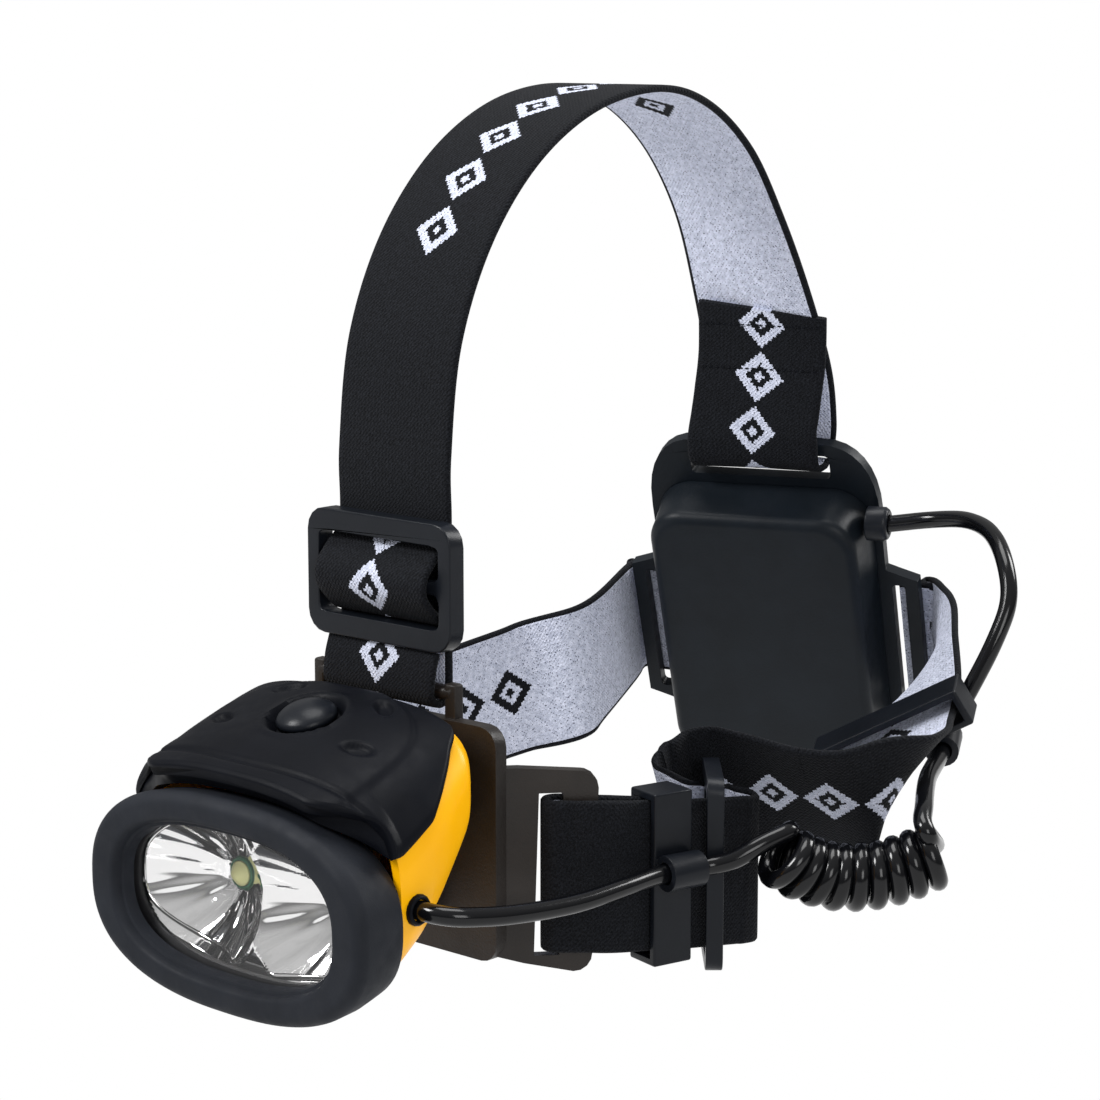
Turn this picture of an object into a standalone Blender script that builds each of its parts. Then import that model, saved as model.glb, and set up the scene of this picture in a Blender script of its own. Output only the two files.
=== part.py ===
"""A battery head torch of the miner's cap-lamp kind: a tilting twin-reflector lamp on a forehead
bracket, elastic straps over and round the head, and a three-cell battery pack joined by a curly lead.

Metres, +Z up, the lamp faces -Y and +X is the wearer's left. The origin is the middle of the
flat rear face of the forehead pad. Helper functions take millimetres and return metres.
"""

import math

import bmesh
import bpy
from mathutils import Matrix, Vector

MM = 0.001
GAP = 0.3          # clearance between touching pieces

# ---- driving dimensions, millimetres -------------------------------------------------------
BAND_WIDTH = 30.0
BAND_THICK = 1.5

BEZEL_HALF = (37.8, 20.8)      # half width and half height of the rubber bezel
OPENING_HALF = (28.8, 13.8)    # of the hole in it
LAMP_Z = -1.6                   # middle of the bezel, the lens and the reflector
LAMP_FRONT = -52.0
BEZEL_REAR = -39.0
BEZEL_SQUARE = 2.5             # exponent of the bezel's oval

HINGE = (0.0, -15.0, -5.0)     # tilt axis, along X
LUG_X = 12.0                   # middle of each bracket lug
KNUCKLE_HALF = 8.5

PANEL_FRONT = -9.0
PANEL_BACK = -6.0
PAD_THICK = 5.0
PANEL_TOP = 30.0
PANEL_BOTTOM = -16.0
PANEL_HALF = 31.0

STRAP_Y = -4.2                 # the top strap's middle surface at the forehead
SLIDER_Z = 55.0                # middle of the top slider
SLIDER_SIZE = (39.0, 4.0, 25.0)

BATTERY_AT = (-10.5, 131.0, 26.6)
BATTERY_TURN = (22.0, 24.0)           # yaw, and pitch of its foot away from the head, degrees
CASE_WIDTH = 50.0
CASE_HEIGHT = 70.0
CASE_DEPTH = 13.5
FRAME_THICK = 3.0
CELL_RADIUS = 5.2
CELL_LENGTH = 44.5
CELL_PITCH = 13.4

CABLE_RADIUS = 1.85
COIL_RADIUS = 7.0


def mm(*values):
    """A point given in millimetres, as a vector in metres."""
    return Vector(values) * MM


# ---- scene ---------------------------------------------------------------------------------
for leftover in list(bpy.data.objects):
    bpy.data.objects.remove(leftover, do_unlink=True)

PARTS = bpy.data.collections.new("cap_lamp")
CUTTERS = bpy.data.collections.new("cutters")
bpy.context.scene.collection.children.link(PARTS)
bpy.context.scene.collection.children.link(CUTTERS)


def material(name, colour, roughness, metallic=0.0):
    made = bpy.data.materials.new(name)
    made.use_nodes = True
    shader = made.node_tree.nodes["Principled BSDF"]
    shader.inputs["Base Color"].default_value = (*colour, 1.0)
    shader.inputs["Roughness"].default_value = roughness
    shader.inputs["Metallic"].default_value = metallic
    return made


RUBBER = material("bezel_rubber", (0.024, 0.028, 0.034), 0.6)
SOFT_TOUCH = material("soft_touch", (0.009, 0.010, 0.013), 0.5)
YELLOW = material("yellow_shell", (1.0, 0.49, 0.0), 0.4)
BRACKET_PLASTIC = material("bracket_plastic", (0.027, 0.021, 0.017), 0.5)
BUCKLE = material("buckle_plastic", (0.014, 0.017, 0.021), 0.4)
CASE_PLASTIC = material("case_plastic", (0.016, 0.022, 0.026), 0.45)
WEBBING = material("webbing", (0.006, 0.006, 0.007), 0.9)
FOAM = material("foam", (0.02, 0.02, 0.02), 0.95)
CABLE_JACKET = material("cable_jacket", (0.006, 0.006, 0.007), 0.2)
CHROME = material("chrome", (0.9, 0.9, 0.9), 0.05, 1.0)
CLEAR = material("clear_lens", (0.95, 0.95, 0.95), 0.02)
STEEL = material("steel", (0.6, 0.6, 0.6), 0.3, 1.0)
BOARD = material("board", (0.02, 0.15, 0.05), 0.5)
PHOSPHOR = material("phosphor", (0.9, 0.75, 0.1), 0.4)
ALUMINIUM = material("aluminium", (0.7, 0.7, 0.72), 0.35, 1.0)
CELL_WRAP = material("cell_wrap", (0.1, 0.2, 0.35), 0.35)
SEAL = material("seal", (0.03, 0.03, 0.03), 0.7)


# ---- shape helpers -------------------------------------------------------------------------
def add(mesh_object, finish, folder=PARTS, parent=None):
    """Puts an object in its collection with its material, and shades its round faces smooth."""
    for old in list(mesh_object.users_collection):
        old.objects.unlink(mesh_object)
    folder.objects.link(mesh_object)
    mesh_object.parent = parent
    if finish:
        mesh_object.data.materials.clear()
        mesh_object.data.materials.append(finish)
    if folder is CUTTERS:
        mesh_object.hide_render = True
        mesh_object.display_type = "WIRE"
    elif mesh_object.type == "MESH":
        mesh_object.data.shade_smooth()
        mesh_object.data.set_sharp_from_angle(angle=math.radians(35))
    return mesh_object


def from_bmesh(name, bm, finish, folder=PARTS, parent=None):
    bmesh.ops.recalc_face_normals(bm, faces=bm.faces)
    mesh = bpy.data.meshes.new(name)
    bm.to_mesh(mesh)
    bm.free()
    return add(bpy.data.objects.new(name, mesh), finish, folder, parent)


def block(name, size, centre, finish, round_by=0.0, folder=PARTS, parent=None, turn=(0, 0, 0)):
    """A box, its edges rounded by round_by, turned about its middle by degrees."""
    bm = bmesh.new()
    bmesh.ops.create_cube(bm, size=1.0)
    bmesh.ops.scale(bm, vec=Vector(size) * MM, verts=bm.verts)
    if round_by:
        bmesh.ops.bevel(
            bm, geom=list(bm.edges), offset=round_by * MM, segments=2, profile=0.5, affect="EDGES"
        )
    made = from_bmesh(name, bm, finish, folder, parent)
    made.location = mm(*centre)
    made.rotation_euler = [math.radians(angle) for angle in turn]
    return made


def rod(name, radius, length, centre, axis, finish, sides=20, folder=PARTS, parent=None, tip=None):
    """A cylinder along X, Y or Z, or a cone where tip gives the radius of its far end."""
    bm = bmesh.new()
    bmesh.ops.create_cone(
        bm, cap_ends=True, segments=sides, radius1=radius * MM,
        radius2=(radius if tip is None else tip) * MM, depth=length * MM,
    )
    made = from_bmesh(name, bm, finish, folder, parent)
    made.location = mm(*centre)
    made.rotation_euler = {
        "X": (0, math.pi / 2, 0), "Y": (-math.pi / 2, 0, 0), "Z": (0, 0, 0),
    }[axis]
    return made


def turned(name, profile, centre, axis, finish, steps=24, folder=PARTS, parent=None):
    """A profile of (radius, height) points, down its outer side first, turned about an axis."""
    bm = bmesh.new()
    corners = [bm.verts.new(mm(radius, 0, height)) for radius, height in profile]
    for first, second in zip(corners, corners[1:]):
        bm.edges.new((first, second))
    mesh = bpy.data.meshes.new(name)
    bm.to_mesh(mesh)
    bm.free()
    made = add(bpy.data.objects.new(name, mesh), finish, folder, parent)
    screw = made.modifiers.new("turn", "SCREW")
    screw.steps = screw.render_steps = steps
    screw.use_merge_vertices = True
    screw.merge_threshold = 0.00001
    screw.use_smooth_shade = True
    made.location = mm(*centre)
    made.rotation_euler = {
        "X": (0, math.pi / 2, 0), "Y": (-math.pi / 2, 0, 0), "-Y": (math.pi / 2, 0, 0),
        "Z": (0, 0, 0),
    }[axis]
    return made


def cut(target, cutter, operation="DIFFERENCE"):
    step = target.modifiers.new(operation.lower() + "_" + cutter.name, "BOOLEAN")
    step.operation = operation
    step.object = cutter
    cutter.hide_render = True
    cutter.display_type = "WIRE"
    return target


def join(target, *helpers):
    for helper in helpers:
        cut(target, helper, "UNION")
    return target


def oval(half_width, half_height, square, count=40, centre_z=0.0, start=0.0, stop=360.0):
    """Points (x, z) of an oval that is more square the larger its exponent."""
    closed = stop - start >= 360.0
    points = []
    for step in range(count):
        angle = math.radians(start + (stop - start) * step / (count if closed else count - 1))
        cosine, sine = math.cos(angle), math.sin(angle)
        x = math.copysign(abs(cosine) ** (2.0 / square), cosine) * half_width
        z = math.copysign(abs(sine) ** (2.0 / square), sine) * half_height
        points.append((x, z + centre_z))
    return points


def loft(name, rings, finish, folder=PARTS, parent=None, tunnel=False):
    """Skins rings of equally many points. The ends are capped, or joined round for a tunnel."""
    bm = bmesh.new()
    rows = [[bm.verts.new(mm(*point)) for point in ring] for ring in rings]
    pairs = list(zip(rows, rows[1:]))
    if tunnel:
        pairs.append((rows[-1], rows[0]))
    for lower, upper in pairs:
        for step in range(len(lower)):
            after = (step + 1) % len(lower)
            bm.faces.new((lower[step], lower[after], upper[after], upper[step]))
    if not tunnel:
        bm.faces.new(list(reversed(rows[0])))
        bm.faces.new(rows[-1])
    return from_bmesh(name, bm, finish, folder, parent)


def ring_at(y, half_width, half_height, square, centre_z=0.0, count=40):
    return [(x, y, z) for x, z in oval(half_width, half_height, square, count, centre_z)]


def smooth_line(keys, steps):
    """Points on a Catmull-Rom curve through the keys, each key any equal number of values."""
    points = []
    last = len(keys) - 1
    for part in range(last):
        before = keys[max(part - 1, 0)]
        start, end = keys[part], keys[part + 1]
        after = keys[min(part + 2, last)]
        for step in range(steps):
            t = step / steps
            points.append(tuple(
                0.5 * (2 * b + (c - a) * t + (2 * a - 5 * b + 4 * c - d) * t * t
                       + (3 * b - a - 3 * c + d) * t ** 3)
                for a, b, c, d in zip(before, start, end, after)
            ))
    points.append(tuple(keys[last]))
    return points


def ribbon(name, keys, steps, finish=WEBBING, width=BAND_WIDTH, thick=BAND_THICK):
    """A strap. Each key is a point of its middle line and the direction across its width."""
    line = smooth_line(keys, steps)
    bm = bmesh.new()
    count = len(line)
    bmesh.ops.create_grid(bm, x_segments=count - 1, y_segments=1, size=1.0)
    bm.verts.ensure_lookup_table()
    for vert in bm.verts:
        index = round((vert.co.x + 1) / 2 * (count - 1))
        side = 1 if vert.co.y > 0 else -1
        middle = Vector(line[index][:3])
        across = Vector(line[index][3:]).normalized()
        vert.co = (middle + across * side * width / 2) * MM
    mesh = bpy.data.meshes.new(name)
    bm.to_mesh(mesh)
    bm.free()
    made = add(bpy.data.objects.new(name, mesh), finish)
    shell = made.modifiers.new("thickness", "SOLIDIFY")
    shell.thickness = thick * MM
    shell.offset = 0.0
    shell.use_even_offset = True
    return made


def tube(name, points, radius, finish=CABLE_JACKET):
    """A cable along points in millimetres."""
    curve = bpy.data.curves.new(name, "CURVE")
    curve.dimensions = "3D"
    curve.bevel_depth = radius * MM
    curve.bevel_resolution = 2
    curve.use_fill_caps = True
    spline = curve.splines.new("POLY")
    spline.points.add(len(points) - 1)
    for target, point in zip(spline.points, points):
        target.co = (*mm(*point), 1.0)
    made = bpy.data.objects.new(name, curve)
    PARTS.objects.link(made)
    curve.materials.append(finish)
    return made


def flat_plate(name, outlines, thick, finish, folder=PARTS, parent=None):
    """A plate in the local XZ plane, thick along Y from 0, of a closed outline and its holes."""
    curve = bpy.data.curves.new(name, "CURVE")
    curve.dimensions = "2D"
    curve.fill_mode = "BOTH"
    curve.extrude = thick * MM / 2
    for outline in outlines:
        spline = curve.splines.new("POLY")
        spline.points.add(len(outline) - 1)
        for target, (x, z) in zip(spline.points, outline):
            target.co = (x * MM, z * MM, 0.0, 1.0)
        spline.use_cyclic_u = True
    helper = bpy.data.objects.new(name + "_outline", curve)
    bpy.context.scene.collection.objects.link(helper)
    graph = bpy.context.evaluated_depsgraph_get()
    mesh = bpy.data.meshes.new_from_object(helper.evaluated_get(graph))
    mesh.name = name
    bpy.data.objects.remove(helper, do_unlink=True)
    upright = Matrix.Translation((0, thick * MM / 2, 0)) @ Matrix.Rotation(math.pi / 2, 4, "X")
    bm = bmesh.new()
    bm.from_mesh(mesh)
    bmesh.ops.remove_doubles(bm, verts=bm.verts, dist=0.000001)
    bm.transform(upright)
    bm.to_mesh(mesh)
    bm.free()
    return add(bpy.data.objects.new(name, mesh), finish, folder, parent)


def rounded(half_width, low, high, radius, centre_x=0.0, corner=5):
    """The outline of a rounded rectangle, from z low to z high."""
    points = []
    for index, (side, z, start) in enumerate((
        (1, high, 0), (-1, high, 90), (-1, low, 180), (1, low, 270),
    )):
        middle = (centre_x + side * (half_width - radius), z + (radius if z == low else -radius))
        for step in range(corner):
            angle = math.radians(start + 90 * step / (corner - 1))
            points.append((
                middle[0] + radius * math.cos(angle), middle[1] + radius * math.sin(angle)
            ))
    return points


# ---- lamp head -----------------------------------------------------------------------------
# The lamp body's section at depths y: middle z, half width, half height, exponent of its oval.
BODY_SECTIONS = (
    (-38.7, 3.5, 35.2, 22.1, 2.6),
    (-35.0, 4.6, 35.2, 22.2, 2.7),
    (-30.0, 7.5, 34.8, 20.7, 2.8),
    (-25.0, 11.3, 33.8, 18.5, 2.9),
    (-20.0, 15.3, 32.4, 15.9, 3.0),
    (-16.0, 18.6, 31.2, 13.6, 3.1),
    (-13.5, 20.3, 28.6, 11.9, 3.1),
)


def body_section(y):
    """The lamp body's section at depth y, smoothly between those listed."""
    listed = BODY_SECTIONS
    if y < listed[0][0]:
        return (LAMP_Z, BEZEL_HALF[0], BEZEL_HALF[1], BEZEL_SQUARE)
    for first, second in zip(listed, listed[1:]):
        if y <= second[0]:
            t = (y - first[0]) / (second[0] - first[0])
            return tuple(a + (b - a) * t for a, b in zip(first[1:], second[1:]))
    return listed[-1][1:]


def make_bezel():
    wide, high = BEZEL_HALF
    hole_wide, hole_high = OPENING_HALF
    rear = BEZEL_REAR
    # Rings from the rear edge of the skirt, over the rounded front, to the lens seat inside.
    steps = (
        (rear, wide - 1.7, high - 2.1, BEZEL_SQUARE),
        (rear - 6.0, wide - 0.4, high - 0.5, BEZEL_SQUARE),
        (LAMP_FRONT + 3.2, wide, high, BEZEL_SQUARE),
        (LAMP_FRONT + 1.2, wide - 0.8, high - 0.8, BEZEL_SQUARE),
        (LAMP_FRONT, wide - 2.9, high - 2.9, BEZEL_SQUARE),
        (LAMP_FRONT + 0.1, hole_wide + 2.0, hole_high + 2.0, 2.55),
        (LAMP_FRONT + 1.2, hole_wide + 0.3, hole_high + 0.3, 2.6),
        (LAMP_FRONT + 4.2, hole_wide, hole_high, 2.6),
        (LAMP_FRONT + 4.4, wide - 3.4, high - 3.4, 2.5),
        (rear, wide - 3.2, high - 3.2, 2.5),
    )
    rings = [ring_at(y, half_w, half_h, e, LAMP_Z, count=48) for y, half_w, half_h, e in steps]
    return loft("lamp_bezel", rings, RUBBER, tunnel=True)


def make_lens():
    front = LAMP_FRONT + 4.4 + GAP
    wide, high = BEZEL_HALF[0] - 3.8, BEZEL_HALF[1] - 3.8
    loft("lens", [
        ring_at(front, wide, high, 2.5, LAMP_Z), ring_at(front + 2.0, wide, high, 2.5, LAMP_Z),
    ], CLEAR)
    seat = front + 2.0 + GAP
    loft("lens_gasket", [
        ring_at(seat + depth, wide - inset, high - inset, 2.5, LAMP_Z)
        for depth, inset in ((0, 0), (1.2, 0), (1.2, 3.0), (0, 3.0))
    ], SEAL, tunnel=True)
    return seat + 1.2 + GAP


BOWL_X = 14.6          # middle of each reflector bowl
BOWL_DEPTH = 11.0
BOWL_MOUTH = 15.4
EMITTER_HOLE = 3.2


def make_reflector(front):
    """One moulding with two overlapping parabolic bowls, open at the back for the emitters."""
    wide, high = BEZEL_HALF[0] - 4.2, BEZEL_HALF[1] - 4.2
    body = loft("reflector", [
        ring_at(front, wide, high, 2.5, LAMP_Z), ring_at(front + 1.2, wide, high, 2.5, LAMP_Z),
        ring_at(front + 1.3, wide - 1.5, high - 1.5, 2.5, LAMP_Z),
        ring_at(front + BOWL_DEPTH + 0.4, wide - 9.0, high - 5.6, 2.5, LAMP_Z + 0.6),
    ], CHROME)
    outer = [(0.0, 6.0), (BOWL_MOUTH + 3.0, 6.0), (BOWL_MOUTH + 0.4, 0.0)]
    for step in range(1, 8):
        radius = BOWL_MOUTH - (BOWL_MOUTH - EMITTER_HOLE) * step / 7
        depth = BOWL_DEPTH * (1 - (radius ** 2 - EMITTER_HOLE ** 2)
                              / (BOWL_MOUTH ** 2 - EMITTER_HOLE ** 2))
        outer.append((radius, -depth))
    outer += [(EMITTER_HOLE, -BOWL_DEPTH - 3.0), (0.0, -BOWL_DEPTH - 3.0)]
    for side in (-1, 1):
        bowl = turned(f"bowl_cutter_{side}", outer, (side * BOWL_X, front, LAMP_Z), "-Y", None,
                      steps=28, folder=CUTTERS)
        cut(body, bowl)
    return front + BOWL_DEPTH + 0.4


def make_emitters(back):
    board_front = back + GAP
    block("led_board", (42, 1.6, 14), (0, board_front + 0.8, LAMP_Z), BOARD, 0.3)
    for side, name in ((1, "led_left"), (-1, "led_right")):
        turned(name, [(0, 2.6), (1.0, 2.4), (1.9, 1.5), (2.3, 0.9), (2.5, 0.9), (2.5, 0.0), (0, 0)],
               (side * BOWL_X, board_front - GAP, LAMP_Z), "-Y", PHOSPHOR, steps=16)
    sink_front = board_front + 1.6 + GAP
    sink = block("heat_sink", (38, 2.0, 13), (0, sink_front + 1.0, 3.5), ALUMINIUM)
    for index in range(5):
        fin = block(f"fin_{index}", (1.6, 3.4, 10), (-15 + 7.5 * index, sink_front + 3.4, 5.0), None,
                    folder=CUTTERS)
        join(sink, fin)


def make_shell():
    """The yellow body: a tapering shell, open at the front, with the hinge knuckle behind."""
    wall = 1.8
    outer = [ring_at(y, w, h, e, z) for y, z, w, h, e in BODY_SECTIONS]
    inner = [ring_at(y, w - wall, h - wall, e, z) for y, z, w, h, e in BODY_SECTIONS[:-1]]
    y, z, w, h, e = BODY_SECTIONS[-1]
    inner.append(ring_at(y - wall, w - wall, h - wall, e, z))
    # The skin runs from the inside of the nose, out round the rim and back over the tail.
    bm = bmesh.new()
    rows = [[bm.verts.new(mm(*p)) for p in ring] for ring in list(reversed(inner)) + outer]
    for lower, upper in zip(rows, rows[1:]):
        for step in range(len(lower)):
            after = (step + 1) % len(lower)
            bm.faces.new((lower[step], lower[after], upper[after], upper[step]))
    bm.faces.new(rows[0])
    bm.faces.new(rows[-1])
    shell = from_bmesh("lamp_shell", bm, YELLOW)
    knuckle = rod("knuckle_barrel", 4.6, 2 * KNUCKLE_HALF, HINGE, "X", None, 20, CUTTERS)
    web = block("knuckle_web", (2 * KNUCKLE_HALF, 6.0, 9.0), (0, HINGE[1] - 1.6, HINGE[2] + 7.0),
                None, folder=CUTTERS, turn=(14, 0, 0))
    join(knuckle, web)
    join(shell, knuckle)
    cut(shell, rod("pin_hole", 2.0 + GAP, 2 * KNUCKLE_HALF + 4, HINGE, "X", None, 16, CUTTERS))
    cut(shell, rod("cable_hole", 3.0 + GAP, 14, CABLE_EXIT, "X", None, 16, CUTTERS))
    return shell


CABLE_EXIT = (32.4, -34.5, 1.5)


def make_cover():
    """The soft cover saddles the top of the shell and overhangs the bezel as a visor."""
    # Depth, lower edge, and how far the outside stands off the body sideways and upwards.
    stations = ((-49.2, 15.6, 2.6, 4.2), (-48.4, 15.2, 3.0, 5.2), (-44.0, 15.0, 2.9, 6.6),
                (-39.2, 14.6, 1.6, 8.2), (-38.7, 14.2, 2.35, 2.35), (-35.0, 15.2, 2.35, 2.35),
                (-30.0, 17.6, 2.35, 2.35), (-25.0, 23.2, 2.35, 2.35), (-20.0, 28.2, 2.35, 2.35),
                (-16.0, 30.9, 2.2, 2.2), (-15.0, 31.3, 1.5, 1.5))
    rings = []
    for y, low, side, top in stations:
        middle, wide, high, square = body_section(y)
        ends = []
        for out, up in ((side, top), (GAP + 0.15, GAP + 0.15)):
            ratio = min(max((low - middle) / (high + up), 0.0), 0.98)
            start = math.degrees(math.asin(ratio ** (square / 2)))
            ends.append(oval(wide + out, high + up, square, 25, middle, start, 180 - start))
        # The visor's front edge runs back at its two ends.
        ahead = min(max((-38.7 - y) / 10.5, 0.0), 1.0)
        rings.append([(x, y + ahead * 9.0 * min(max((abs(x) - 24.0) / 10.0, 0.0), 1.0) ** 1.5, z)
                      for x, z in ends[0] + ends[1][::-1]])
    cover = loft("top_cover", rings, SOFT_TOUCH)
    hole = rod("button_hole", BUTTON_RADIUS + GAP, 16, BUTTON_AT, "Z", None, 28, CUTTERS)
    hole.rotation_euler = (math.radians(BUTTON_LEAN), 0, 0)
    cut(cover, hole)
    return cover


BUTTON_AT = (0.0, -28.4, 31.0)      # middle of the button's seat, on the cover's slope
BUTTON_LEAN = 17.0
BUTTON_RADIUS = 6.0
BUTTON_TRAVEL = 1.2
PLUNGER_RADIUS = 2.2


def along_button(rise):
    """A point on the button's axis, rise millimetres out from its seat."""
    lean = math.radians(BUTTON_LEAN)
    return (BUTTON_AT[0], BUTTON_AT[1] - math.sin(lean) * rise, BUTTON_AT[2] + math.cos(lean) * rise)


def make_controls(shell):
    lean = (math.radians(BUTTON_LEAN), 0, 0)
    dome = [(0, 2.5), (2.4, 2.3), (4.4, 1.6), (5.5, 0.8), (BUTTON_RADIUS, 0.1), (BUTTON_RADIUS, -1.0),
            (PLUNGER_RADIUS, -1.0), (PLUNGER_RADIUS, -5.1), (0, -5.1)]
    button = turned("power_button", dome, along_button(0.4), "Z", SOFT_TOUCH, 28)
    button.rotation_euler = lean
    hole = rod("plunger_hole", PLUNGER_RADIUS + GAP, 9, along_button(-2.0), "Z", None, 20,
               folder=CUTTERS)
    hole.rotation_euler = lean
    cut(shell, hole)
    block("button_switch", (6.2, 6.2, 3.0), along_button(-4.7 - BUTTON_TRAVEL - GAP - 1.5), STEEL,
          turn=(BUTTON_LEAN, 0, 0))
    block("driver_board", (22.0, 10.0, 1.2), along_button(-4.7 - BUTTON_TRAVEL - 3.0 - 2 * GAP - 0.6),
          BOARD, turn=(BUTTON_LEAN, 0, 0))


def make_lamp():
    make_bezel()
    seat = make_lens()
    back = make_reflector(seat)
    make_emitters(back)
    shell = make_shell()
    make_cover()
    make_controls(shell)
    turned("lamp_gland", [
        (2.6, 3.8), (3.0, 3.2), (3.0, -3.6), (CABLE_RADIUS + GAP, -3.6),
        (CABLE_RADIUS + GAP, 3.8), (2.6, 3.8),
    ], CABLE_EXIT, "X", SOFT_TOUCH, 16)


# ---- forehead bracket ----------------------------------------------------------------------
WING_TURN = 50.0       # how far each wing turns back from the panel, degrees
WING_LENGTH = 17.0
WING_ROOT = (30.6, -4.6)


STRAP_BAR_RADIUS = 1.5
STRAP_BAR = (STRAP_Y - STRAP_BAR_RADIUS - GAP - BAND_THICK / 2, 34.6)   # y and z of the bar


def make_bracket():
    panel = flat_plate("forehead_bracket", [rounded(PANEL_HALF, PANEL_BOTTOM, PANEL_TOP, 4.0)],
                       PANEL_BACK - PANEL_FRONT, BRACKET_PLASTIC)
    panel.location = mm(0, PANEL_FRONT, 0)
    for side in (-1, 1):
        low_corner, high_corner = (WING_LENGTH - 3.2, -15.6), (WING_LENGTH - 2.0, 17.2)
        outline = [(-3.0, -15.0), (4.0, -17.0)]
        outline += [(low_corner[0] + 3.4 * math.cos(a), low_corner[1] + 3.4 * math.sin(a))
                    for a in (math.radians(d) for d in (-95, -70, -45, -20, 0))]
        outline += [(high_corner[0] + 3.4 * math.cos(a), high_corner[1] + 3.4 * math.sin(a))
                    for a in (math.radians(d) for d in (0, 25, 50, 75, 88))]
        outline += [(3.0, 21.5), (-3.0, 21.5)]
        slot = [(5.9, -15.6), (10.8, -15.6), (11.6, 16.4), (6.9, 16.4)]
        if side < 0:
            outline = [(-x, z) for x, z in reversed(outline)]
            slot = [(-x, z) for x, z in reversed(slot)]
        wing = flat_plate(f"wing_{side}", [outline, slot], 2.6, None, CUTTERS)
        wing.location = mm(side * WING_ROOT[0], WING_ROOT[1] - 2.0, 0.5)
        wing.rotation_euler = (0, 0, math.radians(side * WING_TURN))
        join(panel, wing)
        lug = block(f"lug_{side}", (3.4, 10.5, 9.0), (side * LUG_X, PANEL_FRONT - 4.4, HINGE[2]),
                    None, 1.0, CUTTERS)
        join(panel, lug)
        post = block(f"strap_post_{side}", (3.0, 2.6, 9.0), (side * 18.0, STRAP_BAR[0], 32.2), None,
                     0.6, CUTTERS)
        join(panel, post)
    join(panel, rod("strap_bar", STRAP_BAR_RADIUS, 36.0, (0, *STRAP_BAR), "X", None, 16, CUTTERS))
    cut(panel, rod("bracket_pin_hole", 2.0, 2 * LUG_X + 8, HINGE, "X", None, 16, CUTTERS))
    return panel


def make_hinge():
    rod("hinge_pin", 1.7, 2 * LUG_X + 7.4, HINGE, "X", STEEL, 16)
    for side, name in ((1, "pin_clip_left"), (-1, "pin_clip_right")):
        turned(name, [(2.0, 0.5), (3.4, 0.5), (3.4, -0.5), (2.0, -0.5), (2.0, 0.5)],
               (side * (LUG_X + 1.7 + GAP + 0.5), HINGE[1], HINGE[2]), "X", STEEL, 16)
    for side, name in ((1, "friction_washer_left"), (-1, "friction_washer_right")):
        low, high = KNUCKLE_HALF + GAP, LUG_X - 1.7 - GAP
        washer = turned(name, [(2.0 + GAP, high), (4.2, high), (4.2, low), (2.0 + GAP, low),
                               (2.0 + GAP, high)], HINGE, "X", STEEL, 16)
        if side < 0:
            washer.rotation_euler = (0, -math.pi / 2, 0)


def make_pad():
    pad = block("forehead_pad", (56, PAD_THICK, 38), (0, -PAD_THICK / 2, 6), FOAM, 1.0)
    return pad


# ---- top strap -----------------------------------------------------------------------------
ARCH_MIDDLE_Y = 58.0
ARCH_SPRING_Z = 80.0
ARCH_RISE = 68.0
ARCH_REAR_SPAN = 50.0
ARCH_STEP = 18
TAIL_Z = 42.4          # where the loop round the bracket's bar takes over
REAR_YAW = 16.0        # the strap's turn about the vertical where it meets the battery, degrees


def make_top_strap():
    """One strap from the bracket up over the head and down to the slot of the battery frame."""
    across = (1.0, 0.0, 0.0)
    front = STRAP_Y
    keys = [(0, front, z, *across) for z in (TAIL_Z, 52.0, 68.0)]
    for degrees in range(180, 35, -ARCH_STEP):
        angle = math.radians(degrees)
        span = ARCH_MIDDLE_Y - front if degrees > 90 else ARCH_REAR_SPAN
        keys.append((
            0, ARCH_MIDDLE_Y + span * math.cos(angle), ARCH_SPRING_Z + ARCH_RISE * math.sin(angle),
            *across,
        ))
    halfway = (1.0, math.tan(math.radians(REAR_YAW / 2)), 0.0)
    slot = Vector(on_battery(0, FRAME_THICK, 41.4))
    keys.append((slot.x + 5.0, slot.y - 10.5, slot.z + 36.0, *halfway))
    keys.append((slot.x + 3.4, slot.y - 2.6, slot.z + 20.0, *REAR_ACROSS))
    keys.append((slot.x + 1.6, slot.y + 1.8, slot.z + 9.0, *REAR_ACROSS))
    keys.append((slot.x + 0.4, slot.y + 2.4, slot.z + 3.4, *SLOT_ACROSS))
    ribbon("top_strap", keys, 3)


def make_strap_flap():
    """The sewn end: through the frame's slot from behind and up over the strap's inner side."""
    slot = Vector(on_battery(0, FRAME_THICK / 2, 40.0))
    inward = Vector((math.sin(math.radians(REAR_YAW)), -math.cos(math.radians(REAR_YAW)), 0))
    keys = []
    for out, rise, shift in ((-3.6, 1.4, 0.0), (-1.4, 0.0, 0.0), (1.8, -0.4, 0.0),
                             (4.8, 1.0, 0.0), (6.4, 5.0, 0.4), (7.0, 10.0, 1.0),
                             (7.2, 16.0, 2.0), (8.4, 25.0, 3.2), (11.8, 35.5, 4.4)):
        point = slot + inward * out
        keys.append((point.x + shift, point.y, point.z + rise,
                     *(SLOT_ACROSS if rise < 8 else REAR_ACROSS)))
    ribbon("strap_flap", keys, 3)


def make_strap_loop():
    """The turn round the bracket's strap bar, its front layer ending below the slider."""
    radius = STRAP_BAR_RADIUS + GAP + BAND_THICK / 2
    bar_y, bar_z = STRAP_BAR
    keys = [(0, STRAP_Y, TAIL_Z - GAP, 1, 0, 0)]
    for degrees in range(0, -181, -36):
        angle = math.radians(degrees)
        keys.append((0, bar_y + radius * math.cos(angle), bar_z + radius * math.sin(angle), 1, 0, 0))
    keys.append((0, STRAP_Y - 3.4, SLIDER_Z - SLIDER_SIZE[2] / 2 - GAP, 1, 0, 0))
    ribbon("strap_loop", keys, 2)


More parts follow.
